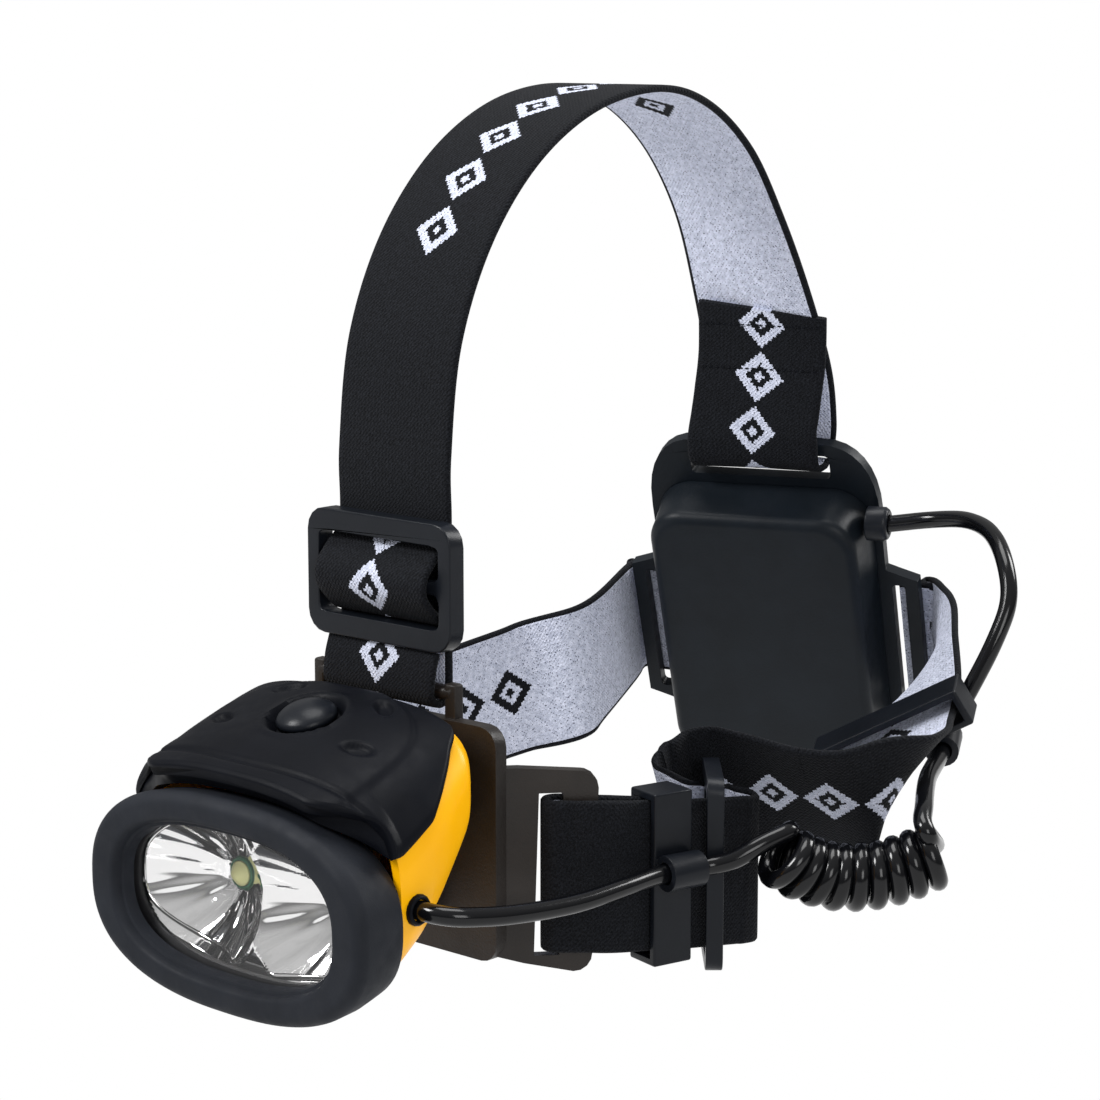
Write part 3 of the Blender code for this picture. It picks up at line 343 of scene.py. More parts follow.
def soften(rows, times):
    """Average each row with its neighbours in place, leaving the first and the last."""
    for _ in range(times):
        rows[1:-1] = 0.25 * rows[:-2] + 0.5 * rows[1:-1] + 0.25 * rows[2:]


def read_table(rows, depth):
    """The other columns of a table at a depth, where its first column holds the depths."""
    table = np.array(rows)
    return [float(np.interp(depth, table[:, 0], table[:, i])) for i in range(1, table.shape[1])]


# ---- straps --------------------------------------------------------------------------------
BAND_HALF, BAND_THICK = 15.0, 1.5


def strap_profile():
    """(across, depth) along the outer and the inner half of a strap's section, its edges rolled."""
    half, deep = BAND_HALF, BAND_THICK / 2
    outer = [(-half, 0.0), (-half + 0.12, 0.55 * deep), (-half + 0.5, 0.95 * deep), (-half + 1.6, deep),
             (-5.0, deep), (5.0, deep), (half - 1.6, deep), (half - 0.5, 0.95 * deep),
             (half - 0.12, 0.55 * deep), (half, 0.0)]
    inner = [(v, -depth) for v, depth in reversed(outer[1:-1])]
    return outer, inner


def strap(name, line, start=0.0, motif=0.0, flip=False):
    """A strap along rows of (x, y, z) and the direction across it, with its length.

    start is the length of the strap before this stretch, motif moves the figure along it, and
    flip turns its outside over.
    """
    middle, across = line[:, :3], units(line[:, 3:6])
    run = units(np.gradient(middle, axis=0))
    across = units(across - run * (across * run).sum(1)[:, None])
    normal = np.cross(run, across) * (-1 if flip else 1)
    reach = lengths_along(middle) + start
    outer, inner = strap_profile()
    section = outer + inner
    rings = [[m + a * v + n * d for v, d in section] for m, a, n in zip(middle, across, normal)]
    made = skin(name, rings, OUTSIDE, INSIDE, angle=60)
    mesh = made.data
    chart = mesh.uv_layers.new(name="weave")
    count = len(section)
    for face in mesh.polygons:
        columns = [mesh.loops[i].vertex_index % count for i in face.loop_indices]
        wraps = 0 in columns and count - 1 in columns
        face.material_index = int(len(columns) == 4 and (wraps or max(columns) >= len(outer)))
        for loop in face.loop_indices:
            row, column = divmod(mesh.loops[loop].vertex_index, count)
            chart.data[loop].uv = ((reach[row] + motif) / CHART_UNIT, section[column][0] / CHART_UNIT)
    return made, float(reach[-1] - start)


# The top strap's front plane and slider, and the pack that it runs down to. SLACK is the gap
# between a strap and the part that it runs round.
STRAP_Y = -4.2
SLIDER_Z, SLIDER_HIGH, SLIDER_BAR_OUT = 55.0, 25.0, 6.05
REAR_YAW, PACK_YAW, PACK_LEAN = 16.0, 22.0, 24.0
BATTERY = (Matrix.Translation((-10.5, 131.0, 26.6)) @ Matrix.Rotation(math.radians(PACK_YAW), 4, "Z")
           @ Matrix.Rotation(math.radians(PACK_LEAN), 4, "X"))
WING_Z = -7.0
SLACK = 0.3
PLAIN_ACROSS = (1.0, 0.0, 0.0)
HALFWAY_ACROSS, REAR_ACROSS, SLOT_ACROSS = (
    (1.0, math.tan(math.radians(yaw)), 0.0) for yaw in (REAR_YAW / 2, REAR_YAW, PACK_YAW))


def on_battery(x, y, z):
    """A point of the pack's own axes in those of the model."""
    return BATTERY @ Vector((x, y, z))


def make_top_strap():
    """Straight up from the slider, over the head in an arch, and down to the pack's slot."""
    crown_y, crown_z, rise, front_span, rear_span = 58.0, 80.0, 68.0, 62.2, 50.0
    keys = [(0, STRAP_Y, z, *PLAIN_ACROSS) for z in (42.25, 52.0, 68.0)]
    for degrees in range(180, 35, -18):
        angle = math.radians(degrees)
        span = front_span if degrees > 90 else rear_span
        keys.append((0, crown_y + span * math.cos(angle), crown_z + rise * math.sin(angle), *PLAIN_ACROSS))
    slot = on_battery(0, 3.0, 41.4)
    for x, y, z, across in ((5.0, -10.5, 36.0, HALFWAY_ACROSS), (3.4, -2.6, 20.0, REAR_ACROSS),
                            (1.6, 1.8, 9.0, REAR_ACROSS), (0.4, 2.4, 3.4, SLOT_ACROSS)):
        keys.append((slot.x + x, slot.y + y, slot.z + z, *across))
    piece, length = strap("top_strap_web", smooth_line(keys, 12), motif=98.6, flip=True)
    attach(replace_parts(piece, "top_strap"), "headband")


def make_strap_flap():
    """The strap's sewn end, from the pack's slot up the outside of the strap."""
    slot = on_battery(0, 1.5, 40.0)
    yaw = math.radians(REAR_YAW)
    keys = []
    for out, rise, shift in ((-3.6, 1.4, 0.0), (-1.4, 0.0, 0.0), (1.8, -0.4, 0.0), (4.8, 1.0, 0.0),
                             (6.4, 5.0, 0.4), (7.0, 10.0, 1.0), (7.2, 16.0, 2.0), (7.4, 25.0, 3.2),
                             (9.9, 35.5, 4.4)):
        keys.append((slot.x + math.sin(yaw) * out + shift, slot.y - math.cos(yaw) * out, slot.z + rise,
                     *(SLOT_ACROSS if rise < 8 else REAR_ACROSS)))
    line = smooth_line(keys, 10)
    piece, length = strap("strap_flap_web", line, motif=2.0, flip=True)
    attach(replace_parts(piece, "strap_flap"), "headband")
    make_stitches(line[-5], line[-14])


def make_stitches(*rows):
    """Rows of thread across the flap's sewn end, each stitch a short bead."""
    spacing, stitches_a_side = 1.45, 9
    size = Matrix.Diagonal((0.52 * MM, 0.2 * MM, 0.16 * MM, 1.0))
    bm = bmesh.new()
    for row in rows:
        middle, across = Vector(row[:3]), Vector(row[3:6]).normalized()
        up = Vector((0.28, -0.10, 1.0)).normalized()
        outward = across.cross(up).normalized()
        turn = Matrix((across, up, outward)).transposed().to_4x4()
        for index in range(-stitches_a_side, stitches_a_side + 1):
            at = middle + across * index * spacing + outward * (BAND_THICK / 2 + 0.05)
            bmesh.ops.create_uvsphere(bm, u_segments=8, v_segments=6, radius=1.0,
                                      matrix=Matrix.Translation(at * MM) @ turn @ size)
    mesh = bpy.data.meshes.new("flap_stitches")
    bm.to_mesh(mesh)
    bm.free()
    mesh.shade_smooth()
    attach(link("flap_stitches", mesh, SOFT), "headband")


def make_strap_loop():
    """Down from the slider, round the bracket's bar and up to the slider again."""
    bar_radius = 1.5
    radius = bar_radius + SLACK + BAND_THICK / 2
    bar_y, bar_z = STRAP_Y - radius, 34.6
    keys = [(0, STRAP_Y, 41.9, *PLAIN_ACROSS)]
    for degrees in range(0, -181, -18):
        angle = math.radians(degrees)
        keys.append((0, bar_y + radius * math.cos(angle), bar_z + radius * math.sin(angle), *PLAIN_ACROSS))
    keys.append((0, STRAP_Y - 4.6, 38.5, *PLAIN_ACROSS))
    keys.append((0, STRAP_Y - 3.4, SLIDER_Z - SLIDER_HIGH / 2 - 0.35, *PLAIN_ACROSS))
    piece, length = strap("strap_loop_web", smooth_line(keys, 4), motif=60.0, flip=True)
    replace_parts(piece, "strap_loop")
    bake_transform(piece)


def make_strap_bight():
    """The fold of strap over the slider's middle bar."""
    behind, bulge = STRAP_Y - BAND_THICK - SLACK, STRAP_Y - SLIDER_BAR_OUT - BAND_THICK / 2
    keys = [(behind, 7.1), ((behind + bulge) / 2, 4.9), (bulge, 1.7)]
    keys += [(y, -z) for y, z in reversed(keys)]
    line = smooth_line([(0, y, SLIDER_Z + z, *PLAIN_ACROSS) for y, z in keys], 8)
    piece, length = strap("strap_bight_web", line, motif=33.0)
    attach(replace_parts(piece, "top_strap_bight"), "top_adjuster")


# The side bands' middle lines. From the fold's end on, each key also holds the way across the band.
UPRIGHT = (0.0, 0.0, 1.0)
LEFT_FRONT_KEYS = (
    (45.4, 25.4, -1.6), (43.5, 17.6, -0.8), (39.8, 10.4, 0.2), (36.9, 6.9, 0.6), (34.2, 3.7, 0.8),
    (34.0, 1.6, 0.8), (35.4, 0.0, 0.8), (37.6, 0.0, 0.8), (39.7, 2.5, 0.6), (42.9, 6.4, 0.4),
    (45.0, 12.0, -0.4), (46.8, 19.0, -1.2), (48.4, 26.0, -2.2), (50.0, 33.0, -3.0),
    (51.6, 39.0, -3.6),
)
FOLD_KEYS = (
    (52.1, 41.0, -3.8), (51.9, 43.6, -4.0), (50.0, 45.2, -4.0), (47.8, 44.6, -3.8),
    (45.6, 42.6, -3.2), (43.4, 40.2, -2.4), (41.4, 37.4, -1.0), (39.4, 35.2, 1.0),
    (37.2, 35.0, 2.6), (35.6, 36.6, 4.0), (35.2, 39.4, 5.4),
)
TURN_KEYS = (
    (35.2, 40.6, 5.8, 0.0, 0.0, 1.0), (35.4, 45.4, 7.0, 0.05, -0.05, 1.0),
    (38.6, 50.4, 8.2, 0.16, -0.24, 0.94), (46.0, 54.0, 9.0, 0.26, -0.46, 0.85),
    (56.1, 56.8, 8.8, 0.22, -0.58, 0.79),
)
LEFT_KEYS = (
    (64.0, 59.5, 8.4, 0.20, -0.50, 0.84),
    (68.2, 63.2, 8.6, 0.28, -0.16, 0.95), (67.4, 69.2, 9.5, 0.50, 0.16, 0.84),
    (62.0, 76.4, 11.5, 0.68, 0.34, 0.64), (55.3, 84.3, 13.8, 0.757, 0.424, 0.497),
    (48.2, 97.0, 17.0, 0.757, 0.424, 0.497), (41.0, 112.5, 19.5, 0.60, 0.25, 0.75),
    (35.0, 129.0, 21.5, 0.36, -0.10, 0.92), (28.6, 140.0, 22.0, 0.22, -0.30, 0.92),
)
RIGHT_KEYS = (
    (-43.0, 9.0, 0.4, 0.0, 0.0, 1.0), (-46.5, 22.0, 1.8, 0.0, 0.0, 1.0),
    (-50.0, 40.0, 4.4, 0.0, 0.0, 1.0), (-50.0, 60.0, 7.8, 0.0, 0.0, 1.0),
    (-45.0, 80.0, 11.6, 0.0, 0.05, 1.0), (-37.0, 94.0, 15.6, -0.06, 0.1, 0.99),
)


def wing_end(side):
    """The last keys of a side band, behind the wing of the pack's frame."""
    wing_back = 3.0
    up = BATTERY.to_3x3() @ Vector((0, 0, 1))
    behind = wing_back + BAND_THICK / 2 + SLACK
    return [(*on_battery(side * x, y, WING_Z), *up)
            for x, y in ((36.4, behind - 0.8), (33.0, behind + 0.3), (28.6, behind))]


def make_left_band():
    """One strap cut where it passes onto the side slider and off it again."""
    upright = [(*key, *UPRIGHT) for key in LEFT_FRONT_KEYS + FOLD_KEYS]
    keys = upright + list(TURN_KEYS) + list(LEFT_KEYS) + wing_end(1)
    steps = 7
    line = smooth_line(keys, steps)
    cuts = [0, (len(LEFT_FRONT_KEYS) - 1) * steps, (len(upright) - 1) * steps,
            (len(upright) + len(TURN_KEYS) - 1) * steps, len(line) - 1]
    names = ("left_band_front", "left_band_fold", "left_band_turn", "left_band")
    rests = (["forehead_bracket", "front_keeper"], ["left_slider"], ["left_slider"],
             ["rear_keeper", "battery_frame"])
    start = 0.0
    for name, first, last, rest in zip(names, cuts, cuts[1:], rests):
        piece, length = strap(name + "_web", line[first:last + 1], start, motif=-110.0)
        start += length
        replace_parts(piece, name)
        if name == "left_band_front":
            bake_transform(piece)
        elif name == "left_band_turn":
            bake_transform(piece)
        else:
            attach(piece, "side_adjuster" if name == "left_band_fold" else "headband")


def make_right_band():
    """The plain band on the far side, from the bracket to the pack."""
    line = smooth_line(list(RIGHT_KEYS) + wing_end(-1), 14)
    piece, length = strap("right_band_web", line, motif=10.0, flip=True)
    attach(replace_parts(piece, "right_band"), "headband")


# ---- the lead ------------------------------------------------------------------------------
CABLE_RADIUS = 1.85
FRONT_LEAD_KEYS = (
    (34.0, -34.5, 1.5), (37.5, -34.5, 1.5), (40.2, -34.0, 1.4), (43.6, -31.0, 1.0),
    (47.2, -22.0, 0.2), (50.0, -8.0, -0.3), (51.0, 4.0, 0.2), (51.33, 14.16, 0.6),
    (52.83, 19.97, 0.6), (54.4, 25.78, 0.6), (58.2, 28.9, 1.8), (61.3, 33.4, 4.6),
)
COIL_KEYS = (
    (62.2, 37.6, 2.4), (65.4, 41.8, -1.0), (69.8, 47.0, -3.1), (75.4, 52.2, -2.8),
    (80.4, 56.8, -0.8), (84.4, 60.4, 1.7),
)
COIL_TURNS, COIL_MIDDLE, STEPS_A_TURN = 9.25, 5.15, 22
COIL_OUTWARD = Vector((0.67, -0.74, 0))
REAR_LEAD_KEYS = (
    (85.6, 54.9, 6.2), (83.2, 56.0, 8.6), (81.2, 59.4, 10.0), (76.1, 67.1, 11.0), (70.7, 75.7, 11.4),
    (66.2, 84.4, 11.6), (62.92, 91.62, 12.31), (60.57, 95.9, 13.38), (58.21, 100.18, 14.45),
    (58.0, 104.0, 17.6), (60.4, 107.4, 25.0), (62.8, 110.6, 33.0), (63.4, 114.6, 41.0),
    (59.6, 118.6, 48.2), (52.3, 124.3, 53.0), (43.5, 128.4, 54.4), (34.0, 129.6, 53.4),
    (24.6, 126.6, 51.8), (20.0, 124.9, 51.0),
)


def coil_points():
    """The lead's own line through its coil, from the top of the first turn to the side of the last."""
    spine = smooth_line(COIL_KEYS, 16)
    reach = lengths_along(spine)
    points = []
    count = int(COIL_TURNS * STEPS_A_TURN)
    for step in range(count + 1):
        share = step / count
        at, ahead, behind = (point_at(share * reach[-1] + off, reach, spine) for off in (0, 0.5, -0.5))
        run = Vector(ahead - behind).normalized()
        top = (Vector(UPRIGHT) - run * run.z).normalized()
        near = top.cross(run)
        if near.dot(COIL_OUTWARD) < 0:
            near = -near
        angle = -2 * math.pi * COIL_TURNS * share
        points.append(tuple(Vector(at) + (top * math.cos(angle) + near * math.sin(angle)) * COIL_MIDDLE))
    return points


def make_lead():
    """One tube from the lamp's gland through the coil to the pack's gland, in even short steps."""
    step_length = 0.8
    rough = smooth_line(list(FRONT_LEAD_KEYS) + coil_points() + list(REAR_LEAD_KEYS), 5)
    reach = lengths_along(rough)
    stops = np.linspace(0, reach[-1], int(reach[-1] / step_length))
    path = np.array([point_at(stop, reach, rough) for stop in stops])
    soften(path, 6)
    run = units(np.gradient(path, axis=0))
    side = np.cross(run[0], UPRIGHT)
    rings = []
    for at, along in zip(path, run):
        side = side - along * (side @ along)
        side = side / np.linalg.norm(side)
        other = np.cross(along, side)
        rings.append([at + CABLE_RADIUS * (side * math.cos(a) + other * math.sin(a))
                      for a in circle_angles(14)])
    lead = skin("lead", rings, JACKET)
    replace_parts(lead, "cable_front", "cable_coil", "cable_rear")
    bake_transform(lead)


make_lead()
make_top_strap()
make_strap_flap()
make_strap_loop()
make_strap_bight()
make_left_band()
make_right_band()


# ---- lamp head -----------------------------------------------------------------------------
LAMP_Z = -1.6
BEZEL_HALF, BEZEL_SQUARE = (37.8, 20.8), 2.5
OPENING_HALF, OPENING_SQUARE = (28.8, 13.8), 2.6
LAMP_FRONT, BEZEL_REAR = -52.0, -39.0
# Each row: depth, middle z, half width, half height and the exponent of its oval.
BODY_SECTIONS = (
    (-38.7, 3.5, 35.2, 22.1, 2.6), (-35.0, 4.6, 35.2, 22.2, 2.7), (-30.0, 7.5, 34.8, 20.7, 2.8),
    (-25.0, 11.3, 33.8, 18.5, 2.9), (-20.0, 15.3, 32.4, 15.9, 3.0), (-16.0, 18.6, 31.2, 13.6, 3.1),
    (-13.5, 20.3, 28.6, 11.9, 3.1),
)


def body_section(y):
    """Middle z, half width, half height and exponent of the lamp body at depth y."""
    if y < BODY_SECTIONS[0][0]:
        return (LAMP_Z, *BEZEL_HALF, BEZEL_SQUARE)
    return read_table(BODY_SECTIONS, y)


def on_oval(angle, half_width, half_height, square):
    """The point at that angle of an oval that grows squarer with the exponent."""
    cosine, sine = math.cos(angle), math.sin(angle)
    return (math.copysign(abs(cosine) ** (2 / square), cosine) * half_width,
            math.copysign(abs(sine) ** (2 / square), sine) * half_height)


OVAL_POINTS = 120


def oval_ring(y, half_width, half_height, square, centre_z):
    ring = []
    for step in range(OVAL_POINTS):
        x, z = on_oval(2 * math.pi * step / OVAL_POINTS, half_width, half_height, square)
        ring.append((x, y, z + centre_z))
    return ring


# Behind the bezel's ledge lie the lens, its gasket and the reflector, with a gap before each.
LEDGE, LENS_THICK, GASKET_THICK, GAP = 4.4, 2.0, 1.2, 0.3
REFLECTOR_FRONT = LAMP_FRONT + LEDGE + LENS_THICK + GASKET_THICK + 3 * GAP


def make_bezel():
    """Round the lamp from the rear edge: its side, the rolled front, the stepped opening, the ledge."""
    wide, high = BEZEL_HALF
    hole_wide, hole_high = OPENING_HALF
    roll, taper = 2.8, 0.85
    steps = [(BEZEL_REAR, -2.2), (BEZEL_REAR - 0.5, -1.75), (BEZEL_REAR - 3.0, -1.1), (-45.0, -0.4)]
    for degrees in range(0, 91, 10):
        angle = math.radians(degrees)
        steps.append((LAMP_FRONT + roll * (1 - math.sin(angle)), -roll * (1 - math.cos(angle))))
    rings = [oval_ring(y, wide + taper * out, high + out, BEZEL_SQUARE, LAMP_Z) for y, out in steps]
    for back, out in ((0.02, 2.6), (0.1, 2.0), (0.5, 1.5), (1.4, 1.15), (1.9, 1.0), (2.1, 0.45),
                      (2.6, 0.2), (LEDGE - 0.1, 0.0)):
        rings.append(oval_ring(LAMP_FRONT + back, hole_wide + out, hole_high + out, OPENING_SQUARE, LAMP_Z))
    for y, wall in ((LAMP_FRONT + LEDGE, 3.4), (BEZEL_REAR, 3.2)):
        rings.append(oval_ring(y, wide - wall, high - wall, BEZEL_SQUARE, LAMP_Z))
    bezel = skin("bezel", rings, RUBBER, closed=True)
    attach(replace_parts(bezel, "lamp_bezel"), "lamp")


BOWL_X, BOWL_DEPTH, BOWL_MOUTH, EMITTER_HOLE = 14.6, 11.0, 17.0, 3.2
REFLECTOR_HALF = tuple(half - 4.4 for half in BEZEL_HALF)
RIM_HALF = (REFLECTOR_HALF[0] - 2.0, REFLECTOR_HALF[1] - 2.4)
RIM_RECESS = 0.9


def from_axis(x, z):
    """How far a point lies from the nearer bowl's axis."""
    return min(math.hypot(x - side * BOWL_X, z) for side in (-1, 1))


def paraboloid(radius):
    """A bowl's depth at that radius, full at the emitter's hole and none at its mouth."""
    return BOWL_DEPTH * (1 - (radius ** 2 - EMITTER_HOLE ** 2) / (BOWL_MOUTH ** 2 - EMITTER_HOLE ** 2))


def flutes(radius, turn):
    """How much deeper than its paraboloid a bowl is, in waves round its axis."""
    waves = (0.15 * math.sin(11 * turn + 0.4 * radius) + 0.06 * math.sin(23 * turn + 1.0)
             + 0.03 * math.sin(41 * turn + 0.2 * radius))
    return waves * min(max((radius - 4.0) / 4.0, 0.0), 1.0)


def rim_reach(angle):
    """How far the two-lobed rim lies from the lamp's middle in that direction."""
    along, up = abs(math.cos(angle)), abs(math.sin(angle))
    wide, high = RIM_HALF
    oval = ((along / wide) ** BEZEL_SQUARE + (up / high) ** BEZEL_SQUARE) ** (-1 / BEZEL_SQUARE)
    lobes = BOWL_X * along + math.sqrt(BOWL_MOUTH ** 2 - (BOWL_X * up) ** 2)
    return min(oval, lobes)


def reflector_depth(x, z):
    """The reflector's depth behind its front, outside the rim too."""
    if math.hypot(x, z) > rim_reach(math.atan2(z, x)):
        return max(paraboloid(from_axis(x, z)), 0.0) + RIM_RECESS
    depth = 0.0
    for side in (-1, 1):
        radius = math.hypot(x - side * BOWL_X, z)
        bowl = paraboloid(radius) + flutes(radius, math.atan2(z, x - side * BOWL_X))
        depth = max(depth, min(bowl, BOWL_DEPTH))
        if radius < EMITTER_HOLE:
            depth = BOWL_DEPTH + 0.1
    return depth


def make_reflector():
    """The twin bowls as a height field under the opening, with a turned-back rim."""
    wide, high = REFLECTOR_HALF
    columns, rows = 150, 72
    points = []
    for column in range(columns + 1):
        x = wide * (column / (columns / 2) - 1)
        reach = high * max(1 - abs(x / wide) ** BEZEL_SQUARE, 0.0) ** (1 / BEZEL_SQUARE)
        for row in range(rows + 1):
            z = reach * (row / (rows / 2) - 1)
            points.append((x, REFLECTOR_FRONT + reflector_depth(x, z), z + LAMP_Z))
    faces = []
    for column in range(columns):
        for row in range(rows):
            first = column * (rows + 1) + row
            corners = (first, first + 1, first + rows + 2, first + rows + 1)
            x, z = (sum(points[c][i] for c in corners) / 4 for i in (0, 2))
            if from_axis(x, z - LAMP_Z) > EMITTER_HOLE:
                faces.append(corners)
    mesh = bpy.data.meshes.new("twin_reflector")
    mesh.from_pydata([(x * MM, y * MM, z * MM) for x, y, z in points], [], faces)
    bm = bmesh.new()
    bm.from_mesh(mesh)
    bmesh.ops.remove_doubles(bm, verts=bm.verts, dist=WELD_WITHIN)
    bmesh.ops.delete(bm, geom=[v for v in bm.verts if not v.link_faces], context="VERTS")
    for face in bm.faces:
        if face.normal.y > 0:
            face.normal_flip()
    bm.to_mesh(mesh)
    bm.free()
    mesh.shade_smooth()
    mesh.set_sharp_from_angle(angle=math.radians(24))
    made = link("twin_reflector", mesh, CHROME)
    wall = made.modifiers.new("wall", "SOLIDIFY")
    wall.thickness, wall.offset = 0.5 * MM, -1.0
    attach(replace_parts(made, "reflector"), "lamp")


def make_reflector_bead():
    """A bright bead that follows the reflector's rim."""
    half_wide, half_thick = 0.55, 0.45
    rings = []
    for angle in circle_angles(180):
        cosine, sine, reach = math.cos(angle), math.sin(angle), rim_reach(angle)
        ring = []
        for turn in circle_angles(12):
            out = reach + half_wide * math.cos(turn)
            depth = paraboloid(from_axis(reach * cosine, reach * sine)) + half_thick * math.sin(turn)
            ring.append((out * cosine, REFLECTOR_FRONT + max(depth, 0.1) + 0.2, out * sine + LAMP_Z))
        rings.append(ring)
    bead = skin("reflector_bead", rings, CHROME, closed=True)
    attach(bead, "lamp")


def make_emitter_collars():
    """The green collar of the board that shows round each emitter."""
    section = ((3.1, 0.3), (3.1, -0.1), (2.9, -0.3), (2.7, -0.3), (2.6, -0.1), (2.6, 0.3))
    for side, name in ((1, "left"), (-1, "right")):
        rings = []
        for radius, back in section:
            y = REFLECTOR_FRONT + BOWL_DEPTH + back
            rings.append([(side * BOWL_X + radius * math.cos(a), y, LAMP_Z + radius * math.sin(a))
                          for a in circle_angles(40)])
        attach(skin(f"emitter_collar_{name}", rings, BOARD, closed=True), "lamp")


LIP_FRONT, LIP_THICK = -49.2, 2.1
# Each row: depth, lowest z, middle z, half width, half height and the exponent of its oval.
COVER_STATIONS = (
    (LIP_FRONT, 13.8, 1.0, 39.6, 22.6, 2.6), (-44.0, 13.0, 2.4, 39.2, 23.3, 2.6),
    (-39.2, 12.8, 3.4, 37.8, 24.4, 2.6),
    (-38.7, 12.8, 3.5, 37.55, 24.45, 2.6), (-35.0, 14.8, 4.6, 37.55, 24.55, 2.7),
    (-30.0, 17.6, 7.5, 37.15, 23.05, 2.8), (-25.0, 23.2, 11.3, 36.15, 20.85, 2.9),
    (-20.0, 28.2, 15.3, 34.75, 18.25, 3.0), (-16.0, 30.9, 18.6, 33.4, 15.8, 3.1),
    (-15.0, 31.3, 19.2, 31.6, 14.4, 3.1),
)
COVER_STEPS, COVER_GAP = 120, 0.45


def run_back(x, y):
    """The depth of a point of the cover, where the visor's front edge is swept back at its ends."""
    sweep, sweep_from = 8.4, -37.0
    ahead = min(max((sweep_from - y) / (sweep_from - LIP_FRONT), 0.0), 1.0)
    out = min(max((abs(x) - 20.0) / 15.0, 0.0), 1.0)
    return y + ahead * sweep * out * out * (3 - 2 * out)


def cover_row(y, gap=0.0):
    """A row of the cover's outside, or of its inside where gap is the clearance to the body."""
    row = []
    for step in range(COVER_STEPS + 1):
        at = y
        for _ in range(2):
            low, middle, wide, high, square = read_table(COVER_STATIONS, at)
            if gap:
                middle, wide, high, square = body_section(at)
                wide, high = wide + gap, high + gap
            begin = math.asin(min(max((low - middle) / high, 0.0), 0.98) ** (square / 2))
            x, z = on_oval(begin + (math.pi - 2 * begin) * step / COVER_STEPS, wide, high, square)
            at = run_back(x, y)
        row.append((x, at, z + middle))
    return row


def bump_at(offset, width):
    """A smooth bump of height one that falls off over that width."""
    return math.exp(-(offset / width) ** 2)


def step_down(offset, width):
    """One before the edge and none beyond it, through a soft step of that width."""
    return 1 / (1 + math.exp(offset / width))


GROOVE_Y, GROOVE_DEPTH = -45.2, 0.55
PANEL_HALF, PANEL_RISE = 26.3, 0.6
DIMPLE_HALF, DIMPLE_DEPTH = (3.1, 1.6), 1.25
DIMPLES = ((18.5, -33.0, 0.35), (13.0, -20.5, -0.5))


def relief(x, y):
    """How far the cover's top stands off its plain skin: groove behind the lip, panel and dimples."""
    groove = -GROOVE_DEPTH * bump_at(y - GROOVE_Y - 0.003 * x * x, 0.7)
    share = min(max((y + 44.0) / 30.0, 0.0), 1.0)
    panel = PANEL_RISE * step_down(abs(x) - PANEL_HALF * (1 - share ** 6), 0.35)
    dents = 0.0
    for at_x, at_y, turn in DIMPLES:
        for side in (1, -1):
            dx, dy, angle = x - side * at_x, y - at_y, side * turn
            u = (dx * math.cos(angle) + dy * math.sin(angle)) / DIMPLE_HALF[0]
            v = (-dx * math.sin(angle) + dy * math.cos(angle)) / DIMPLE_HALF[1]
            dents -= DIMPLE_DEPTH * math.exp(-(u ** 2 + v ** 2) ** 3)
    return groove + panel + dents


BUTTON_LEAN = math.radians(17)
BUTTON_AXIS = Vector((0, -math.sin(BUTTON_LEAN), math.cos(BUTTON_LEAN)))
BUTTON_SEAT = Vector((0.0, -28.4, 31.0))
WELL_RADIUS, WELL_DEPTH, WELL_WALL = 6.9, 3.1, 0.38
WELL_RIM_RADIUS, WELL_RIM_RISE, WELL_RIM_WIDTH, WELL_REACH = 8.5, 0.4, 0.8, 9.6


def sink_well(point):
    """The point moved along the button's axis into the well or onto the rim round it."""
    apart = point - BUTTON_SEAT
    off_axis = (apart - BUTTON_AXIS * apart.dot(BUTTON_AXIS)).length
    if off_axis >= WELL_REACH:
        return point
    well = WELL_DEPTH * step_down(off_axis - WELL_RADIUS, WELL_WALL)
    rim = WELL_RIM_RISE * bump_at(off_axis - WELL_RIM_RADIUS, WELL_RIM_WIDTH)
    return point + BUTTON_AXIS * (rim - well)


def make_cover():
    """A dense saddle over the shell with a thin lip in front, and a well for the button."""
    edge_steps, edge_round = 4, 0.8
    lip_run, lip_blend, lip_round = 1.2, 1.8, 0.9
    depths = np.concatenate([np.linspace(LIP_FRONT, -48.2, 7), np.linspace(-48.0, -39.2, 26),
                             np.linspace(-38.7, -16.0, 76), np.linspace(-15.8, -15.0, 5)])
    grid = np.array([cover_row(y) for y in depths])
    inner_rows = np.array([cover_row(y, COVER_GAP) for y in depths])
    soften(grid, 5)
    normals = np.cross(np.gradient(grid, axis=1), np.gradient(grid, axis=0))
    normals /= np.linalg.norm(normals, axis=2)[:, :, None]
    if normals[len(depths) // 2][COVER_STEPS // 2][2] < 0:
        normals = -normals
    # The lip is LIP_THICK thick. Behind it the underside is filled down to the bezel and the shell.
    joined = np.clip((depths - LIP_FRONT - lip_run) / lip_blend, 0.0, 1.0)[:, None, None]
    inner_rows = inner_rows * joined + (grid - normals * LIP_THICK) * (1 - joined)
    fronts = lip_round * (1 - np.sqrt(np.clip(depths - LIP_FRONT, 0.0, 1.0)))
    rings = []
    for row, side, inner, front in zip(grid, normals, inner_rows, fronts):
        outside = []
        for step, (at, normal) in enumerate(zip(row, side)):
            fade = min(min(step, COVER_STEPS - step) / edge_steps, 1.0)
            rise = relief(at[0], at[1]) * fade - edge_round * (1 - math.sqrt(fade)) - front
            outside.append(tuple(sink_well(Vector(at + normal * rise))))
        rings.append(outside + [tuple(point) for point in inner[::-1]])
    cover = skin("soft_cover", rings, SOFT, angle=50)
    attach(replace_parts(cover, "top_cover"), "lamp")


